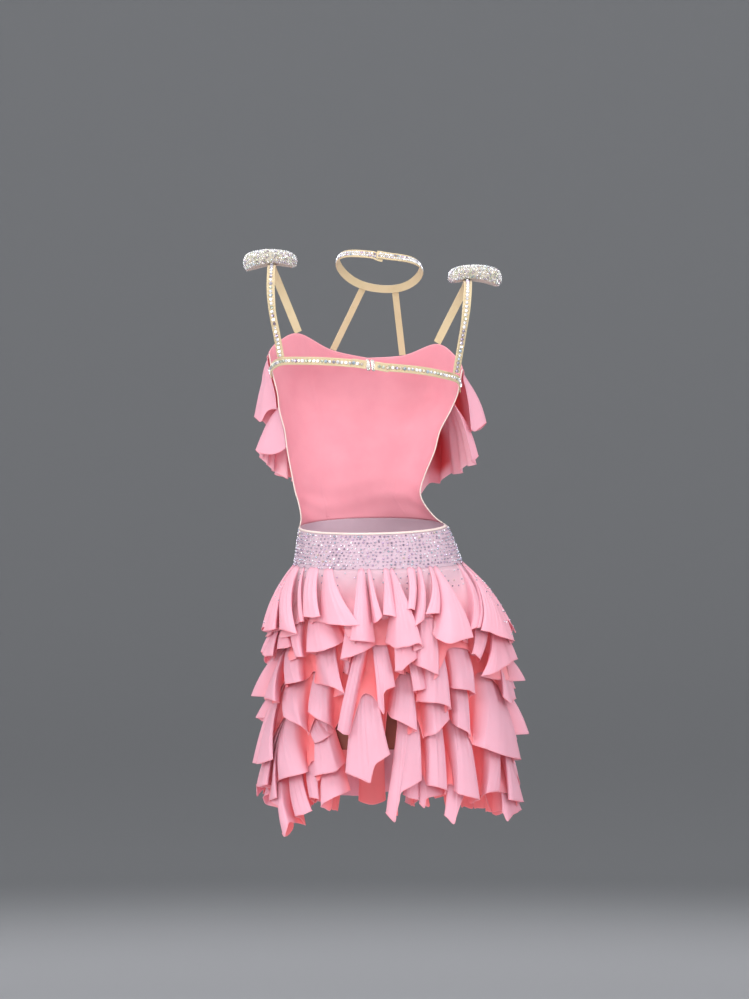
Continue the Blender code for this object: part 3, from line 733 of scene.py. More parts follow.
# The net under the lower tiers and its hem are a dark brown, painted shade for the deep shade seen through the gaps
# between the lower tiers' folds.
NET = fabric("net_painted_shade_look", (0.30, 0.13, 0.10), (0.24, 0.10, 0.08), (0.4, 0.15, 0.1), roughness=0.8, sheen=0.1, thin=0.1)
NUDE = fabric("nude_elastic_look", (0.67, 0.545, 0.345), (0.62, 0.50, 0.30), (0.85, 0.6, 0.4), roughness=0.5, sheen=0.2, thin=0.0, ribs=900.0, bump=0.35)
BINDING = fabric("pale_binding_look", (0.80, 0.66, 0.60), (0.74, 0.60, 0.54), (0.85, 0.6, 0.5), roughness=0.5, sheen=0.2, thin=0.0, ribs=900.0, bump=0.3)
PAD = fabric("pad_cloth_look", (0.52, 0.47, 0.38), (0.44, 0.39, 0.31), (0.5, 0.5, 0.5), roughness=0.4, sheen=0.3, thin=0.0)
STONE = stone_look("clear_stone_look", 0.6, 0.16)
METAL = metal_look("hook_metal_look")

PIECES = []


def finish_piece(obj, look, slot, *nodes, inner=None):
    obj.data.materials.clear()
    for material in (look,) if inner is None else (inner, look):
        obj.data.materials.append(material)
    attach(obj, "root")
    if nodes:
        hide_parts(*nodes)
    PIECES.append(obj)
    return obj


# ---------------------------------------------------------------- skirt
seams = {name: level_at(TIERS[name][0]) for name in TIERS}
seams["skirt_tier_1"] = lambda a: yoke_bottom(a) - 1.5
def hem_of(grid):
    """The line along a grid's lower edge, in the middle of the cloth's thickness."""
    low, above = grid[-1], grid[-2]
    run = unit(np.gradient(low, axis=0))
    out = unit(np.cross(run, low - above))
    away = out * np.sign((out[:, :2] * low[:, :2]).sum(1).mean() or 1.0)
    return low + away * 0.3


grids = {}
SHEETS = {}
under = new_under()
for name in list(TIERS)[::-1]:
    k = list(TIERS).index(name)
    seam_z, rows = TIERS[name]
    # The heads of the folds come to points on the yoke, and are rolled wide under the other tiers.
    apexes = [row[0] for row in rows]
    rooms = [min(abs(x - y) for j, y in enumerate(apexes) if j != i) for i, x in enumerate(apexes)]
    scale = 0.7 if name == "skirt_tier_1" else 2.0
    back = [back_fold(seam_z, row[0], min(row[1] * scale, 0.44 * room), *row[2:]) for row, room in zip(rows, rooms)]
    hem = float(np.mean([sample[2] for fold in back for sample in fold]))
    first, last = back[0][0], back[-1][-1]
    front = front_row(seam_z, min(last[0], last[1]) - 4, max(first[0], first[1]) + 4 - 360, FRONT_FOLDS, hem, 12, k)
    folds = back + front
    if name in OPEN:
        cut = OPEN[name]
        folds = folds[cut:] + [[(a - 360, b - 360, z, o, d) for a, b, z, o, d in fold] for fold in folds[:cut]]
    line = hem_line(folds, name not in OPEN, seam_z, most_lift={"skirt_tier_1": 0.3, "skirt_tier_2": 0.38, "skirt_tier_3": 0.4, "skirt_tier_5": 0.5}.get(name, 0.64))
    grid, angle, level, off, share, t = drape(line, seams[name], name not in OPEN, under=soften(under), k=k, flat_start=name == "skirt_tier_1")
    under = add_under(under, angle, level, off)
    grids[name] = grid, share, t
for name, (grid, share, t) in grids.items():
    ring = name not in OPEN
    # way steers the painted shade near the seam: on the first tier it is how far down the cloth a point lies, elsewhere
    # 1, which turns that shade off.
    way = t * np.ones_like(share) if name == "skirt_tier_1" else np.ones_like(share)
    piece = finish_piece(cloth(name + "_cloth", grid, ring=ring, share=share, way=way), {"skirt_tier_1": PINK_TOP, "skirt_tier_2": PINK_MID}.get(name, PINK), "pink_crepe", name)
    edge = finish_piece(bead(name + "_hem", hem_of(grid), 0.45, ring=ring), HEM, "pink_crepe")
    SHEETS[name] = piece, edge

# ---------------------------------------------------------------- stones and tapes
GEM_TONES = ((0.80, 0.80, 0.84), (0.92, 0.92, 0.95), (0.50, 0.46, 0.55), (0.34, 0.28, 0.38), (0.62, 0.47, 0.64), (0.44, 0.52, 0.60), (0.70, 0.60, 0.50), (0.58, 0.62, 0.52))


def stones(name, points, normals, sizes, tones, look=None, slot="stones", tilt=0.10, sides=8, rise=0.42):
    """Flat-backed cut stones at these points, as one mesh: a girdle, a ring of facets and a table each."""
    points, normals, sizes, tones = (np.asarray(v, float) for v in (points, normals, sizes, tones))
    count = len(points)
    normals = normals + rng.normal(0, tilt, normals.shape)
    normals /= np.linalg.norm(normals, axis=1, keepdims=True)
    aside = np.cross(normals, np.where(np.abs(normals[:, 2:3]) < 0.9, (0.0, 0.0, 1.0), (1.0, 0.0, 0.0)))
    aside /= np.linalg.norm(aside, axis=1, keepdims=True)
    other = np.cross(normals, aside)
    turn = np.arange(sides) * 2 * math.pi / sides
    start = rng.uniform(0, math.pi, count)
    verts = []
    for share, level, shift in ((1.0, -0.12, 0.0), (1.0, 0.06, 0.0), (0.56, rise, 0.5)):
        angle = turn[None] + start[:, None] + shift * math.pi / sides
        radius = sizes[:, None] / 2 * share
        verts.append(points[:, None] + (np.cos(angle) * radius)[..., None] * aside[:, None] + (np.sin(angle) * radius)[..., None] * other[:, None] + normals[:, None] * (sizes * level)[:, None, None])
    verts = np.stack(verts, 1).reshape(-1, 3)
    faces = []
    for i in range(count):
        o = i * 3 * sides
        for j in range(sides):
            k = (j + 1) % sides
            faces.append([o + j, o + k, o + sides + k, o + sides + j])
            faces.append([o + sides + j, o + sides + k, o + 2 * sides + j])
            faces.append([o + sides + k, o + 2 * sides + k, o + 2 * sides + j])
        faces.append([o + 2 * sides + j for j in range(sides)])
    made = mesh_object(name, verts, faces, smooth=False)
    layer = made.data.attributes.new("tone", "FLOAT_COLOR", "POINT")
    colour = np.ones((count, 3 * sides, 4))
    colour[:, :, :3] = tones[:, None]
    layer.data.foreach_set("color", colour.ravel().astype(np.float32))
    return finish_piece(made, look or STONE, slot)


def tones_for(count, weights):
    weights = np.array(list(weights) + [0.0] * (len(GEM_TONES) - len(weights)))
    picked = rng.choice(len(GEM_TONES), count, p=weights / weights.sum())
    return np.array(GEM_TONES)[picked] * rng.uniform(0.82, 1.12, (count, 1))


def tape(name, points, outs, width=TAPE, wall=1.4, steps=6, rim=0.35, node_name=None, look=None, ring=False):
    """A woven tape with satin edges along points: its mesh, and the middle line of its face with the face's normals."""
    path, face = catmull(points, steps, ring), unit(catmull(outs, steps, ring))
    run = unit(np.roll(path, -1, 0) - np.roll(path, 1, 0)) if ring else unit(np.gradient(path, axis=0))
    side = unit(np.cross(run, face))
    face = unit(np.cross(side, run))
    h = width / 2
    outline = ((-h, 0.0), (-h, wall - 0.1), (-h + 0.4, wall + 0.15), (-h + 1.7, wall + 0.15), (-h + 2.1, wall - rim), (0.0, wall - rim), (h - 2.1, wall - rim), (h - 1.7, wall + 0.15), (h - 0.4, wall + 0.15), (h, wall - 0.1), (h, 0.0))
    verts = np.stack([path + side * x + face * y for x, y in outline], 1)
    rows, columns = verts.shape[:2]
    faces = []
    for i in range(rows if ring else rows - 1):
        j = (i + 1) % rows
        for k in range(columns):
            m = (k + 1) % columns
            faces.append([i * columns + k, i * columns + m, j * columns + m, j * columns + k])
    if not ring:
        faces += [list(range(columns))[::-1], [(rows - 1) * columns + k for k in range(columns)]]
    length = np.concatenate([[0], np.linalg.norm(np.diff(path, axis=0), axis=1).cumsum()])
    uv = np.stack([np.repeat(length[:, None], columns, 1), np.repeat(np.arange(columns)[None] * 1.3, rows, 0)], -1).reshape(-1, 2)
    made = mesh_object(name, verts.reshape(-1, 3), faces, uv)
    fix_normals(made)
    made.data.polygons.foreach_set("use_smooth", np.ones(len(made.data.polygons), bool))
    made.data.set_sharp_from_angle(angle=math.radians(40))
    finish_piece(made, look or NUDE, "nude_elastic", *([node_name] if node_name else []))
    return made, path + face * (wall - rim + 0.35), face, length


def stone_row(name, line, face, length, step=6.1, size=5.6, start=3.4, end=3.4, across=(0.0,), weights=(6, 3.5, 2.4, 1.0, 0.2, 1.2, 1.0, 3)):
    """Rows of stones along a tape, this far from its middle."""
    side = unit(np.cross(unit(np.gradient(line, axis=0)), face))
    line = np.concatenate([line + side * v for v in across])
    where = np.concatenate([np.arange(start + step * 0.5 * (i % 2), length[-1] - end, step) + i * (length[-1] + 50.0) for i in range(len(across))])
    length = np.concatenate([length + i * (length[-1] + 50.0) for i in range(len(across))])
    face = np.concatenate([face] * len(across))
    points = np.stack([np.interp(where, length, line[:, c]) for c in range(3)], -1)
    normals = unit(np.stack([np.interp(where, length, face[:, c]) for c in range(3)], -1))
    count = len(where)
    return stones(name, points, normals, size * rng.uniform(0.93, 1.07, count), tones_for(count, weights), tilt=0.13)


def surface_normal(angle, z, off=0.0, form=None):
    a = on_figure(angle + 0.4, z, off, form) - on_figure(angle - 0.4, z, off, form)
    b = on_figure(angle, z + 0.8, off, form) - on_figure(angle, z - 0.8, off, form)
    normal = unit(np.cross(a, b))
    away = on_figure(angle, z, 5.0, form) - on_figure(angle, z, 0.0, form)
    return normal * np.sign((normal * away).sum(-1, keepdims=True))


# ---------------------------------------------------------------- yoke and bases
around = np.arange(0, 360, 360 / 240)


def ring_cloth(name, edges, look, slot, node_name, rows=14, wall=0.9, off=0.0, ripple=0.0):
    t = np.concatenate([(0.0, 0.007), np.linspace(0, 1, rows)[1:-1], (0.993, 1.0)])[:, None]
    top, low = edges[0](around)[None, :], edges[1](around)[None, :]
    z = top + (low - top) * t
    a = np.broadcast_to(around, z.shape)
    wave = ripple * np.sin(math.pi * t) * (np.sin(np.radians(a) * 7 + t * 3) + 0.6 * np.sin(np.radians(a) * 17 + 1.1))
    return finish_piece(cloth(name, on_figure(a, z, off + wave), ring=True, wall=wall), look, slot, node_name)


yoke = ring_cloth("hip_yoke_cloth", (yoke_top, yoke_bottom), YOKE, "yoke_jersey", "hip_yoke", ripple=0.12)
base = ring_cloth("hip_base_cloth", (lambda a: yoke_bottom(a) - SEAM, lambda a: level_at(-570)(a) - 6), YOKE, "yoke_jersey", "hip_base", rows=20)
net = ring_cloth("net_base_cloth", (lambda a: level_at(-570)(a) - 6.3, lambda a: level_at(-730)(a) - 6), NET, "nude_net", "net_base", rows=26)
net_hem = finish_piece(bead("net_base_hem", on_figure(around, level_at(-730)(around) - 6, 0.5), 0.7, ring=True), NET, "nude_net")
side = np.linspace(-90, 90, 121)
grid = np.stack([on_figure(side, yoke_top(side) - d, WALL + SEAM + o) for d, o in ((-0.4, -0.2), (0.1, 0.2), (1.1, 0.3), (2.2, 0.15), (2.8, -0.2))])
binding = finish_piece(cloth("yoke_binding_cloth", grid, wall=0.5), BINDING, "nude_elastic", "yoke_binding")

# Stones all over the yoke, close but not in rows, and thinning out over its lower seam.
places = []
dense = np.arange(0, 360, 1.0)
for r, depth in enumerate(np.arange(5.6, 66.0, 5.5)):
    levels = yoke_top(dense) + (yoke_bottom(dense) - yoke_top(dense)) * depth / 62.0
    line = on_figure(dense, levels, WALL)
    run = np.concatenate([[0], np.linalg.norm(np.roll(line, -1, 0) - line, axis=1).cumsum()])
    for u in np.arange(3.1 * (r % 2) + rng.uniform(-1, 1), run[-1] - 3, 6.3):
        u = u + rng.uniform(-1.2, 1.2)
        a = float(np.interp(u % run[-1], run, np.arange(0, 361, 1.0)))
        d = depth + rng.uniform(-1.2, 1.2)
        if d > 60.3:
            continue
        if d < 6.4 and (a < 91 or a > 269):
            d = 6.4
        z = float(yoke_top(a) + (yoke_bottom(a) - yoke_top(a)) * d / 62.0)
        places.append((a, z))
places = np.array(places)
count = len(places)
points = on_figure(places[:, 0], places[:, 1], 0.98)
yoke_gems = stones("yoke_stones", points, surface_normal(places[:, 0], places[:, 1]), rng.choice((2.1, 2.7, 3.4), count, p=(0.3, 0.35, 0.35)), tones_for(count, (1.6, 1.3, 3.4, 4.2, 2.4, 1.3, 0.4)), slot="yoke_stones")

# A few more, loose below the seam, on the flat cloth between the gathers of the first tier.
grid1, share1, t1 = grids["skirt_tier_1"]
free = np.argwhere((share1[1:5] < 0.13)) + (1, 0)
rng.shuffle(free)
kept = []
for i, j in free:
    here = grid1[i, j]
    if all(np.linalg.norm(here - grid1[m, n]) > 8.5 for m, n in kept):
        kept.append((i, j))
kept = [v for v in kept if rng.uniform() < 0.8]
facing = np.degrees(np.arctan2(grid1[..., 0], grid1[..., 1]))
drop = t1 * np.ones_like(share1)
for where, most in (((facing > -112) & (facing < -70), 26), ((facing > 68) & (facing < 105), 12)):
    spots = np.argwhere(where & (share1 > 0.75) & (drop > 0.12) & (drop < 0.93))
    spots = spots[(spots[:, 0] > 0) & (spots[:, 0] < len(grid1) - 1)]
    rng.shuffle(spots)
    added = 0
    for i, j in spots:
        if added < most and all(np.linalg.norm(grid1[i, j] - grid1[m, n]) > 11 for m, n in kept):
            kept.append((i, j))
            added += 1
if kept:
    ij = np.array(kept)
    i, j = ij.T
    columns = grid1.shape[1]
    normal = unit(np.cross(grid1[i, (j + 1) % columns] - grid1[i, j - 1], grid1[i - 1, j] - grid1[i + 1, j]))
    outward = grid1[i, j] * (1, 1, 0) - (0, 0, 0)
    normal *= np.sign((normal * outward).sum(-1, keepdims=True))
    stones("seam_stones", grid1[i, j] + normal * 0.65, normal, rng.uniform(2.1, 2.7, len(kept)), tones_for(len(kept), (2, 1.4, 3, 3.2, 2.2, 1.5, 0.8)), slot="yoke_stones")

# ---------------------------------------------------------------- bodice
front_a = np.linspace(90, 270, 181)
t = np.linspace(0, 1, 84)[:, None]
top = bodice_top(front_a)[None, :]
z = top + (yoke_top(front_a)[None, :] + SEAM - top) * t
a = np.broadcast_to(front_a, z.shape)
waist = np.exp(-(((z + 372) / 34) ** 2))
inside = np.clip(np.minimum(a - 90, 270 - a) / 14, 0, 1)
pull = waist * inside * (0.7 * np.sin(z * 0.21 + 2.2 * np.sin(np.radians(a) * 3)) + 0.5 * np.sin(z * 0.13 - a * 0.11))
dart = np.zeros_like(z)
for middle, lean in ((143, 1), (217, -1)):
    seam_a = middle + lean * 6 * np.sin(np.clip((-z - 130) / 280, 0, 1) * math.pi)
    dart -= 0.45 * np.exp(-(((a - seam_a) / 0.9) ** 2))
grid = on_figure(a, z, pull + dart)
bodice = finish_piece(cloth("bodice_front_cloth", grid, wall=0.9), BODICE, "pink_crepe", "bodice_front")
bodice_edge = finish_piece(bead("bodice_top_edge", grid[0] + 0.0, 1.1, sides=8), HEM, "pink_crepe")
side_edges = join("bodice_side_edges", [bead("edge_a", grid[:, 0], 1.0, sides=8), bead("edge_b", grid[:, -1], 1.0, sides=8)])
finish_piece(side_edges, BINDING, "nude_elastic")
# Seams on the inside of the bodice front, in its painted-shade copy of the crepe.
seams_in = []
for middle, lean in ((143, 1), (217, -1)):
    zz = np.linspace(float(bodice_top(middle)) - 3, -392.5, 90)
    aa = middle + lean * 6 * np.sin(np.clip((-zz - 130) / 280, 0, 1) * math.pi)
    for shift in (-1.3, 0.0, 1.3):
        seams_in.append(bead(f"inner_seam_{middle}_{shift}", on_figure(aa + shift, zz, -0.15), 0.42 if shift else 0.65, sides=6))
zz = np.linspace(-232, -232, 120)
lining = join("bodice_inner_seams", seams_in)
finish_piece(lining, BODICE, "pink_crepe")
SHEETS["bodice_front"] = bodice, bodice_edge, side_edges, lining

# ---------------------------------------------------------------- bust ruffles
# Each ruffle's two ends, as samples of (seam angle, hem angle, z, off, share) by falling angle: a broad smooth fold
# that stands away from the back at the wearer's right, and one that runs back to the side at the wearer's left.
ENDS = {
    "bust_ruffle_upper": (
        ((270, 270, -259, 18, 0.95), (269, 268, -261, 25, 1.0), (267.5, 265.5, -248, 41, 1.0), (265, 262, -252, 39, 1.0), (261, 256, -259, 34, 0.95), (256, 249, -260, 31, 0.9), (250, 243, -264, 28, 0.8), (246, 238, -268, 24, 0.7)),
        ((104, 108, -246, 24, 0.8), (100.5, 103.5, -243, 30, 0.95), (98, 99.5, -238, 35, 1.0), (96, 97, -243, 29, 1.0), (94.2, 95, -246, 22, 1.0), (92.6, 93.4, -229, 11, 1.0), (90, 90, -228, -8, 0.95)),
    ),
    "bust_ruffle_lower": (
        ((270, 270, -305, 29, 0.95), (268, 267.5, -304, 35, 1.0), (265.5, 264.5, -298, 41, 1.0), (262.5, 261, -306, 31, 1.0), (259.5, 257.5, -311, 40, 1.0), (256.5, 254, -314, 29, 1.0), (253.5, 250.5, -309, 38, 1.0), (250, 246.5, -320, 27, 1.0), (246, 242, -324, 37, 0.95), (242, 237, -326, 25, 0.9), (237, 232, -324, 32, 0.8), (232, 226, -336, 21, 0.7), (227, 221, -340, 31, 0.7), (223, 216, -340, 22, 0.8)),
        ((112, 117, -320, 30, 0.9), (109, 114, -322, 22, 0.8), (106, 111, -311, 32, 0.95), (103, 107.5, -312, 24, 0.8), (101, 105, -300, 36, 1.0), (98.5, 102, -302, 27, 0.85), (96.5, 99, -289, 38, 1.0), (94.5, 96, -294, 31, 1.0), (92.6, 93.4, -296, 13, 1.0), (90, 90, -285, -4, 0.95)),
    ),
}


def ruffle(name, seam, seam_z, form, hem, reach, count, k, under_z, dark):
    right, left = ENDS[name]
    folds = [list(right)]
    first, last = right[-1][1] - 6, left[0][1] + 6
    pitch = (first - last) / count
    for i in range(count):
        middle = first - (i + 0.5) * pitch + 0.12 * pitch * wobble(i, k)
        facing = abs(math.cos(math.radians(middle)))
        wide = pitch * (0.5 + 0.1 * wobble(i + 3, k))
        z = hem(middle) + (1.5 + 4 * facing) * wobble(i + 6, k)
        slope = (3 + 6 * facing) * (0.8 * wobble(i, k + 1) + (1 if middle < 180 else -1))
        kind = ("GS" if middle > 180 else "SG") if wobble(i + 4, k) > -0.55 else "SS"
        ends = min(middle + wide, 270), max(middle - wide, 90)
        points = [(ends[0], z + slope), (middle, z - 2), (ends[1], z - slope)]
        folds.append(side_fold(seam_z, min(max(middle, 93), 267), pitch * 0.2, kind, 1.0 + 0.05 * wobble(i + 9, k), points, reach, 105.0))
    folds.append(list(left))
    line = hem_line(folds, False, seam_z, most_lift=0.0)
    line[:, :2] = np.clip(line[:, :2], 90, 270)
    own = (line[:, 1] < first + 3) & (line[:, 1] > last - 3)
    beside = np.clip((np.abs(np.cos(np.radians(line[:, 1]))) - 0.1) / 0.5, 0, 1)
    keep = np.where(own, 0.42 + 0.58 * beside, 1.0)
    deep = BASE + np.array([float(spread(seam_z - z, reach, 105.0)) for z in line[:, 2]])
    line[:, 3] = deep - (deep - line[:, 3]) * keep
    line[:, 4] = 1 - (1 - line[:, 4]) * keep
    grid, angle, level, off, share, t = drape(line, seam, False, form=form, k=k, reach=reach, ease=105.0, crease=0.9, rows=18)
    # clear of the body, which narrows under it, and close to it along the wearer's left side
    start, onto = on_figure(angle, level, 0.0, form), on_figure(angle, level, 1.0, form)
    inward = ((on_figure(angle, level, 0.0) - start) * (onto - start)).sum(-1)
    layer = 0.0 if under_z is None else 2.6
    hug = np.clip(1 - (angle - 90) / 4.5, 0, 1) ** 1.5
    off = off * (1 - hug) + np.minimum(off, inward + BASE + layer) * hug
    off = np.maximum(off, inward + BASE + layer)
    if under_z is not None:
        low = spread(under_z - level, 84, 105.0)
        away = np.clip((angle - 93) / 9, 0, 1) * np.clip((270 - angle) / 8, 0, 1)
        off = np.where(level < under_z, np.maximum(off, (low + BASE + 1.5) * away - 60 * (1 - away)), off)
    grid = on_figure(angle, level, off, form)
    # Painted shade on the ruffle's inner side: lit falls toward 0 in a band round the angle that dark gives, below the
    # seam and above the hem, and there the inner material takes its dark red.
    middle, width = dark
    lit = 1 - np.exp(-np.abs((angle - middle) / width) ** 2.2) * np.clip((seam_z - 4 - level) / 40, 0, 1) * np.clip((0.97 - t) / 0.16, 0, 1)
    piece = finish_piece(cloth(name + "_cloth", grid, share=share, way=np.ones_like(share), lit=lit), PINK, "pink_crepe", name, inner=INSIDE)
    edge = finish_piece(bead(name + "_hem", hem_of(grid), 0.34), HEM, "pink_crepe")
    head = np.array([on_figure(q, float(seam(q)) - 2.0, BASE + 0.9, form) for q in np.linspace(91, 269, 160)])
    stitch = finish_piece(bead(name + "_seam", head, 0.5), PINK, "pink_crepe")
    SHEETS[name] = piece, edge, stitch


ruffle("bust_ruffle_lower", level_at(-222), -222, -222, lambda a: -302 - 44 * abs(math.cos(math.radians(a))) + 8 * math.sin(math.radians(a)), 84, 11, 12, None, (226, 9.5))
ruffle("bust_ruffle_upper", lambda a: bodice_top(a) - 5, -145, -185, lambda a: -247 - 33 * abs(math.cos(math.radians(a))) + 5 * math.sin(math.radians(a)), 66, 12, 11, -225, (239, 8.0))

# ---------------------------------------------------------------- neck ring
def neck_point(deg, out=0.0, fall=0.0):
    a = np.radians(np.asarray(deg, float))
    c, n = np.cos(a), np.sin(a)
    z = -20 + 21 * c + np.where(c > -0.2, 9.0, 0.0) * n**2 * c**2 + 10 * np.abs(n) ** 3 + 6.3 * n + fall
    return np.stack([(63 + out) * n, (56 + out) * c, z], -1), unit(np.stack([n, c, 0.45 + 0 * c], -1))


# The wearer's left half ends under the right half at the nape, where it dips a little.
deg = np.linspace(-4.5, 182, 40)
fall = -4.2 * np.exp(-(((deg + 3) / 7.5) ** 2))
points, outs = neck_point(deg, 0.0, fall)
neck_left = tape("neck_band_left_half", points, outs, steps=2)
deg = np.linspace(178, 363.5, 40)
fall = 1.0 * np.exp(-(((deg - 363) / 9) ** 2))
points, outs = neck_point(deg, 1.5 * np.exp(-(((deg - 363) / 14) ** 2)) + 0.1, fall)
neck_right = tape("neck_band_right_half", points, outs, steps=2, node_name="neck_band")
for label, (made, line, face, length) in (("left", neck_left), ("right", neck_right)):
    stone_row(f"neck_stones_{label}", line, face, length, step=3.9, size=3.7, start=2.5 if label == "right" else 8.0, end=2.5, across=(-2.0, 2.0), weights=(6, 6, 1.6, 0.9, 0.3, 1.0, 0.3))

# ---------------------------------------------------------------- shoulder pads
PADS = {"shoulder_pad_left": (166, 3.5, 40, 1), "shoulder_pad_right": (-145, -20, 40, -1)}
PAD_DEPTH, PAD_CROWN, PAD_UNDER = 31, 10, 9
PAD_ARCH, PAD_SADDLE, PAD_TILT = (6.5, 12.5), 5, 3.5
PAD_BLUNT = 0.46


def pad_height(p, q, s, side):
    low = (1 - s) / 2
    arch = PAD_ARCH[0] + (PAD_ARCH[1] - PAD_ARCH[0]) * low
    return -arch * p * p - PAD_SADDLE * q * q - PAD_TILT * low * side * p


def pad_point(name, c, shrink=1.0):
    cx, cz, half, side = PADS[name]
    p, q, s = (np.sign(c[:, i]) * np.abs(c[:, i]) ** PAD_BLUNT * shrink for i in range(3))
    rise = np.where(s > 0, PAD_CROWN, PAD_UNDER)
    return np.stack([cx + half * p, PAD_DEPTH * q, cz + rise * s + pad_height(p, q, s, side)], -1)


def under_pad(name, x, y):
    cx, cz, half, side = PADS[name]
    p, q = (x - cx) / half, y / PAD_DEPTH
    s = max(0.0, 1 - abs(p) ** (2 / PAD_BLUNT) - abs(q) ** (2 / PAD_BLUNT)) ** (PAD_BLUNT / 2)
    return cz - PAD_UNDER * s + pad_height(p, q, -s, side)


def shoulder_pad(name):
    """A small stuffed pad: closed cloth over foam, puffed a little, and stones over its top and rim."""
    lat = np.linspace(-math.pi / 2, math.pi / 2, 25)
    lon = np.arange(0, 2 * math.pi, 2 * math.pi / 48)
    c = np.stack([(np.cos(lat)[:, None] * np.cos(lon)[None]), (np.cos(lat)[:, None] * np.sin(lon)[None]), np.repeat(np.sin(lat)[:, None], 48, 1)], -1).reshape(-1, 3)
    verts = pad_point(name, c, 0.985)
    mesh = bmesh.new()
    rows = [[mesh.verts.new(Vector(v) * MM) for v in verts[i * 48 : (i + 1) * 48]] for i in range(25)]
    for i in range(24):
        for j in range(48):
            mesh.faces.new((rows[i][j], rows[i][(j + 1) % 48], rows[i + 1][(j + 1) % 48], rows[i + 1][j]))
    bmesh.ops.remove_doubles(mesh, verts=mesh.verts, dist=1e-5)
    bmesh.ops.recalc_face_normals(mesh, faces=mesh.faces)
    data = bpy.data.meshes.new(name + "_cloth")
    mesh.to_mesh(data)
    mesh.free()
    made = bpy.data.objects.new(name + "_cloth", data)
    bpy.context.scene.collection.objects.link(made)
    bpy.context.view_layer.objects.active = made
    solid = made.modifiers.new("even", "REMESH")
    solid.mode, solid.voxel_size = "VOXEL", 0.0032
    bpy.ops.object.modifier_apply(modifier="even")
    before = np.array([v.co[:] for v in made.data.vertices])
    puff = made.modifiers.new("puff", "CLOTH")
    puff.settings.quality = 6
    puff.settings.use_pressure = True
    puff.settings.uniform_pressure_force = 4.0
    puff.settings.effector_weights.gravity = 0.0
    for frame_number in range(1, 13):
        bpy.context.scene.frame_set(frame_number)
    graph = bpy.context.evaluated_depsgraph_get()
    after = np.array([v.co[:] for v in made.evaluated_get(graph).data.vertices])
    made.modifiers.remove(puff)
    bpy.context.scene.frame_set(1)
    move = after - before
    size = np.linalg.norm(move, axis=1, keepdims=True)
    move *= np.minimum(1, 0.0012 / np.maximum(size, 1e-9))
    made.data.vertices.foreach_set("co", (before + move).ravel())
    fine = made.modifiers.new("fine", "SUBSURF")
    fine.levels = 1
    bpy.ops.object.modifier_apply(modifier="fine")
    made.data.polygons.foreach_set("use_smooth", np.ones(len(made.data.polygons), bool))
    made.data.update()
    finish_piece(made, PAD, "pad_cloth", name)
    # stones, no closer than they can be glued
    n = 9000
    i = np.arange(n) + 0.5
    cz = 1 - 2 * i / n
    turn = math.pi * (1 + 5**0.5) * i
    r = np.sqrt(1 - cz**2)
    c = np.stack([r * np.cos(turn), r * np.sin(turn), cz], -1)
    c = c[c[:, 2] > -0.62]
    p, q = (v.ravel() for v in np.meshgrid(np.linspace(-0.85, 0.85, 66), np.linspace(-0.85, 0.85, 52)))
    flat = np.stack([np.sign(p) * np.abs(p) ** (1 / PAD_BLUNT), np.sign(q) * np.abs(q) ** (1 / PAD_BLUNT)], -1)
    flat = flat[(flat**2).sum(1) < 0.9]
    c = np.concatenate([c, np.concatenate([flat, np.sqrt(1 - (flat**2).sum(1, keepdims=True))], 1)])
    where = pad_point(name, c)
    chosen = []
    taken = np.empty((0, 3))
    for k in rng.permutation(len(where)):
        if len(taken) and np.linalg.norm(taken - where[k], axis=1).min() < 2.5:
            continue
        chosen.append(k)
        taken = np.vstack([taken, where[k]])
    points, normals = [], []
    for k in chosen:
        hit, spot, normal, _ = made.closest_point_on_mesh(Vector(where[k]) * MM)
        points.append(np.array(spot) * 1000)
        normals.append(np.array(normal))
    count = len(chosen)
    stones(name + "_stones", np.array(points) + np.array(normals) * 0.1, normals, rng.uniform(2.5, 3.0, count), tones_for(count, (6, 2.5, 4.2, 2.4, 0.2, 2.2, 0.8, 5)) * (0.955, 0.935, 0.885), slot="stones", tilt=0.2)
    return made


for name in PADS:
    shoulder_pad(name)

# ---------------------------------------------------------------- straps
for name, pad, back_rows, front_angle in (
    ("shoulder_strap_left", "shoulder_pad_left", ((148, 53, -150), (154, 63, -116), (160, 67, -84), (163, 64, -51), (163, 50, -24)), 138),
    ("shoulder_strap_right", "shoulder_pad_right", ((-115, 60, -174), (-121, 68, -137), (-127, 74, -100), (-131, 71, -69), (-133, 52, -43)), 222),
):
    points = [np.array(p, float) for p in back_rows]
    points[0] = points[0] + unit(points[0] - points[1]) * 1.4  # down to the band's edge
    outs = [np.array((0.55 * math.copysign(1, points[0][0]), 0.85, 0.1))] * 3 + [np.array((0.1, 0.95, 0.3)), np.array((0, 0.75, 0.65))]
    x = points[-1][0]
    for y in (31, 15, -5, -24):
        points.append(np.array((x, y, under_pad(pad, x, max(-20, min(y, 20))) - 1.4 - (4.9 if abs(y) > 20 else 2.9))))
        outs.append(np.array((0, y / 60, 1)))
    end = on_figure(front_angle, float(bodice_top(front_angle)) + 2.8)
    start = points[-1]
    for t, lean in ((0.3, -12), (0.65, -9)):
        points.append(start + (end - start) * t + (0, lean, 0))
        outs.append(np.array((0.1 * math.copysign(1, x), -0.9, 0.4)))
    points.append(end)
    outs.append(np.array((0.45 * math.copysign(1, x), -0.9, 0.1)))
    made, line, face, length = tape(name + "_tape", np.array(points), np.array(outs), node_name=name)
    keep = np.linspace(0, 1, len(line))
    stone_row(name + "_stones", line, face, length)

for name, side_sign, angle in (("halter_strap_left", 1, 161), ("halter_strap_right", -1, 199)):
    low = on_figure(angle, float(bodice_top(angle)) + 1.6)
    high = np.array((24 * side_sign, -57, -40 + 2.5 * side_sign), float)
    mid = (high + low) / 2 + (0, -3, 0)
    made, line, face, length = tape(name + "_tape", np.array((high, mid, low)), np.array(((0.2 * side_sign, -1, 0.3),) * 3), width=10, node_name=name)
    stone_row(name + "_stones", line, face, length)

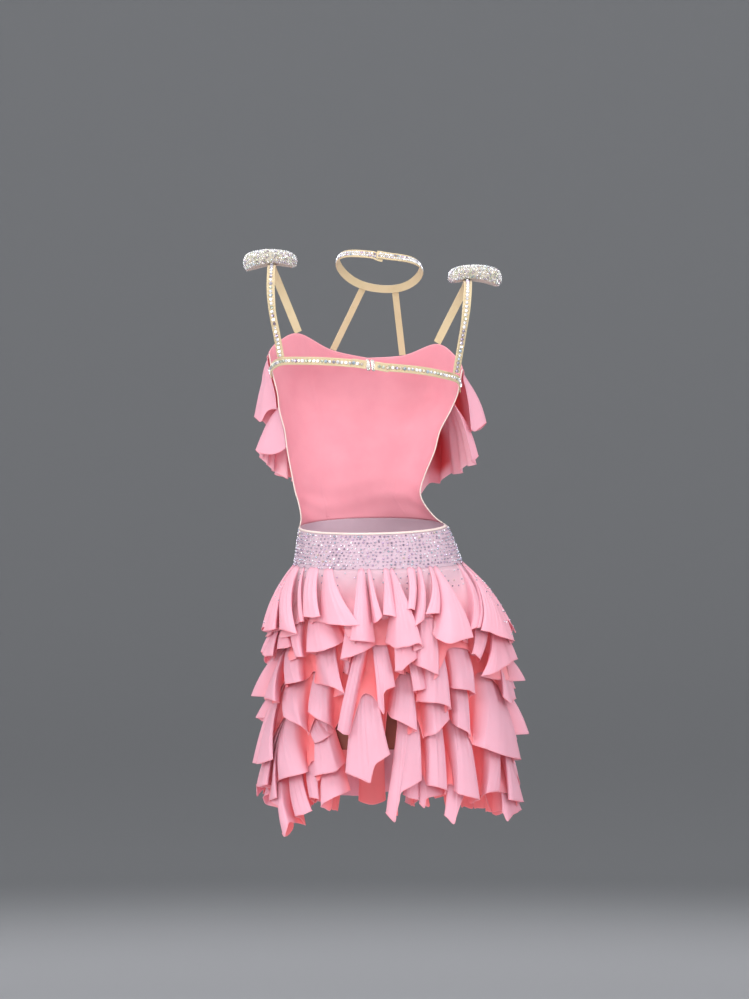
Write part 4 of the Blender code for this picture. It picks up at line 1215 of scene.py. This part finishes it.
# ---------------------------------------------------------------- back bands and clasp
BANDS = {
    "back_band_left": ((166, -176), (163, -168), (155, -161), (142, -157.5), (116, -158), (89, -159), (60, -161), (30, -163.5)),
    "back_band_right": ((-3, -168), (-30, -170), (-58, -172.5), (-85, -176.5), (-112, -182), (-119, -187.5), (-123.5, -197)),
}
for name, spots in BANDS.items():
    points, outs = [], []
    for x, z in spots:
        angle = angle_of(x, z)
        point = on_figure(angle, z, 1.2)
        points.append(point)
        outs.append(on_figure(angle, z, 11.2) - point)
    made, line, face, length = tape(name + "_tape", np.array(points), np.array(outs), node_name=name, steps=5)
    inner = 10.5
    stone_row(name + "_stones", line, face, length, start=inner if name.endswith("right") else 5.5, end=inner if name.endswith("left") else 5.5)
    # the end of the tape folded back on itself round its bar of the clasp, with two rows of stitches
    sign = 1 if name.endswith("left") else -1
    near = on_figure(angle_of(13.5 + sign * 6.6, -165.6 + 0.58 * sign), -165.6 + 0.58 * sign, 1.6)
    base_end = points[-1] if sign > 0 else points[0]
    run = unit(near - base_end)
    face_out = unit(outs[-1] if sign > 0 else outs[0])
    reach_to = float(np.linalg.norm(near - base_end))
    fold = np.array([base_end + run * d + face_out * h for d, h in ((-11.0, 1.3), (-7.0, 1.7), (-3.0, 1.5), (2.0, 1.9), (reach_to - 1.6, 1.7), (reach_to, 0.9))])
    made, line, face, length = tape(name + "_end_fold", fold, np.array([face_out] * 4 + [unit(face_out + 0.6 * run), unit(face_out + 1.6 * run)]), width=12.6, wall=1.0, steps=4, rim=0.1)
    stone_row(name + "_fold_stones", line, face, length, start=2.6, end=3.0)
    upward = unit(np.cross(run, face_out))
    marks = []
    for d in (-8.6, -7.3):
        for w in np.arange(-4.6, 4.7, 1.15):
            spot = base_end + run * d + upward * w + face_out * 2.75
            marks.append(bead(f"{name}_stitch_{d}_{w}", np.array([spot - upward * 0.4, spot + upward * 0.4]), 0.16, sides=5))
    finish_piece(join(name + "_stitches", marks), BINDING, "nude_elastic")

place_c = on_figure(angle_of(13.5, -165.6), -165.6, 1.2)


def clasp_wire(name, spots, radius=0.85, ring=True):
    """Round wire of the clasp; its places are x, y and z from its middle, and it leans as it rises."""
    points = np.array([place_c + (x + 0.13 * z, y, z + 0.088 * x) for x, y, z in spots])
    return bead(name, catmull(points, 5, ring), radius, ring=ring, sides=10)


wires = []
for label, x0, x1 in (("eye", 5.4, 2.0), ("hook", -5.4, -2.0)):
    wires.append(clasp_wire(label + "_frame", ((x0, 1.1, 6.4), (x0, 1.1, -6.4), ((x0 + x1) / 2, 1.3, -7.0), (x1, 1.6, -6.4), (x1, 1.6, 6.4), ((x0 + x1) / 2, 1.3, 7.0)), 1.15))
    for shift in (-0.55, 0.0, 0.55):
        wires.append(clasp_wire(f"{label}_plate_{shift}", (((x0 + x1) / 2 + shift, 1.5, 6.6), ((x0 + x1) / 2 + shift, 1.7, 0.0), ((x0 + x1) / 2 + shift, 1.5, -6.6)), 0.95, ring=False))
wires.append(clasp_wire("hook_tongue", ((-2.0, 1.9, 3.6), (1.2, 2.7, 3.6), (2.4, 1.9, 3.6), (2.0, 0.6, 3.6)), 0.7, ring=False))
wires.append(clasp_wire("hook_tongue_low", ((-2.0, 1.9, -3.6), (1.2, 2.7, -3.6), (2.4, 1.9, -3.6), (2.0, 0.6, -3.6)), 0.7, ring=False))
finish_piece(join("back_clasp_metal", wires), METAL, "hook_metal", "back_clasp")

# ---------------------------------------------------------------- camera, floor and light
DISTANCE, PLANE = 4.5, 0.06
camera = bpy.data.objects.new("camera", bpy.data.cameras.new("camera"))
camera.data.sensor_width = 36
camera.data.lens = 36 * (DISTANCE - PLANE) / (0.0015 * 999)
camera.location = (0.0075, DISTANCE, -0.36525)
camera.rotation_euler = (math.radians(90), 0, math.radians(180))
camera.data.clip_end = 60
bpy.context.scene.collection.objects.link(camera)
bpy.context.scene.camera = camera

# A pale cove: a flat floor that turns up into a round wall.
profile = [(0.0, -2.15), (2.0, -2.15), (4.0, -2.15), (5.8, -2.15), (6.6, -2.09), (7.1, -1.9), (7.28, -1.6), (7.3, -1.0), (7.3, 0.6), (7.3, 3.4)]
points, faces = [], []
turns = 64
fine = catmull(np.array(profile), 4)
for r, zz in fine:
    for i in range(turns):
        points.append((r * 1000 * math.sin(2 * math.pi * i / turns), r * 1000 * math.cos(2 * math.pi * i / turns), zz * 1000))
for i in range(len(fine) - 1):
    for j in range(turns):
        jj = (j + 1) % turns
        faces.append([i * turns + j, i * turns + jj, (i + 1) * turns + jj, (i + 1) * turns + j])
cove = mesh_object("floor_cove", points, faces)
cove_look, tree, shader, _ = new_material("cove_look")
spot_c = node(tree, "ShaderNodeNewGeometry")
split = node(tree, "ShaderNodeSeparateXYZ")
tree.links.new(spot_c.outputs["Position"], split.inputs["Vector"])
rise = node(tree, "ShaderNodeMapRange", interpolation_type="SMOOTHSTEP")
rise.inputs["From Min"].default_value, rise.inputs["From Max"].default_value = -2.12, -1.84
tree.links.new(split.outputs["Z"], rise.inputs["Value"])
wall_mix = node(tree, "ShaderNodeMix", data_type="RGBA")
wall_mix.inputs[6].default_value = (0.60, 0.60, 0.61, 1)
wall_mix.inputs[7].default_value = (0.236, 0.240, 0.245, 1)
tree.links.new(rise.outputs["Result"], wall_mix.inputs[0])
tree.links.new(wall_mix.outputs[2], shader.inputs["Base Color"])
shader.inputs["Roughness"].default_value = 0.9
shader.inputs["Specular IOR Level"].default_value = 0.1
cove.data.materials.append(cove_look)


def softbox(name, place, aim, size, power, colour=(1, 1, 1)):
    light = bpy.data.lights.new(name, "AREA")
    light.shape, light.size, light.size_y = "RECTANGLE", size[0], size[1]
    light.energy, light.color = power, colour
    made = bpy.data.objects.new(name, light)
    made.location = place
    made.rotation_euler = (Vector(aim) - Vector(place)).to_track_quat("-Z", "Y").to_euler()
    made.visible_camera = False
    bpy.context.scene.collection.objects.link(made)


softbox("key", (1.9, 3.2, 0.9), (0, 0, -0.45), (1.6, 1.6), 40, (1.0, 0.98, 0.97))
softbox("near_view", (0.5, 3.9, 0.5), (0, 0, -0.4), (2.0, 1.8), 41, (1.0, 0.99, 0.99))
softbox("fill", (-2.6, 2.3, 0.35), (0, 0, -0.45), (1.6, 2.0), 62, (0.97, 0.98, 1.0))
softbox("fill_left", (2.8, 1.6, -0.3), (0, 0, -0.55), (1.4, 1.8), 38, (0.98, 0.98, 1.0))
softbox("top", (0, 0.6, 2.4), (0, 0, -0.4), (2.4, 2.4), 30)
softbox("front_fill", (0.8, -3.2, 0.9), (0, 0, -0.4), (2.0, 2.0), 60)

world = bpy.data.worlds.new("studio")
world.use_nodes = True
world.node_tree.nodes["Background"].inputs["Color"].default_value = (0.93, 0.95, 1.0, 1)
world.node_tree.nodes["Background"].inputs["Strength"].default_value = 1.03
bpy.context.scene.world = world
bpy.context.scene.view_settings.view_transform = "Standard"

# ---------------------------------------------------------------- sheets, and the cut of each in metres
def piece(name):
    return bpy.data.objects[name]


# Flounces are cut in a curve: the width is the hem's, the length the drop, and the area that of the ring or half ring.
for name, flat, area, on in (
    ("skirt_tier_1", (3.8, 0.115), 0.215, "hip_yoke"),
    ("skirt_tier_2", (3.5, 0.105), 0.165, "hip_base"),
    ("skirt_tier_3", (4.2, 0.105), 0.182, "net_base"),
    ("skirt_tier_4", (4.0, 0.115), 0.208, "net_base"),
    ("skirt_tier_5", (4.2, 0.130), 0.238, "net_base"),
    ("skirt_tier_6", (3.8, 0.110), 0.185, "net_base"),
    ("bust_ruffle_upper", (2.2, 0.130), 0.130, "bodice_front"),
    ("bust_ruffle_lower", (2.4, 0.115), 0.135, "bodice_front"),
):
    extra = list(SHEETS[name][1:]) + ([piece("seam_stones")] if name == "skirt_tier_1" and "seam_stones" in bpy.data.objects else [])
for name, length, on in (
    ("neck_band_left_half", 0.20, ["halter_strap_left"]),
    ("neck_band_right_half", 0.20, ["halter_strap_right"]),
    ("shoulder_strap_left_tape", 0.32, ["back_band_left", "bodice_front"]),
    ("shoulder_strap_right_tape", 0.32, ["back_band_right", "bodice_front"]),
    ("halter_strap_left_tape", 0.11, ["bodice_front"]),
    ("halter_strap_right_tape", 0.11, ["bodice_front"]),
    ("back_band_left_tape", 0.19, ["bodice_front"]),
    ("back_band_right_tape", 0.17, ["bodice_front"]),
):
    extra = [o for o in PIECES if o.name in (name.replace("_tape", "_stones"), name.replace("_tape", "_end_fold"), name.replace("_tape", "_fold_stones"), name.replace("_tape", "_stitches"), name.replace("neck_band_", "neck_stones_").replace("_half", ""))]
    piece(name)
    0.010 if "halter" in name else 0.012
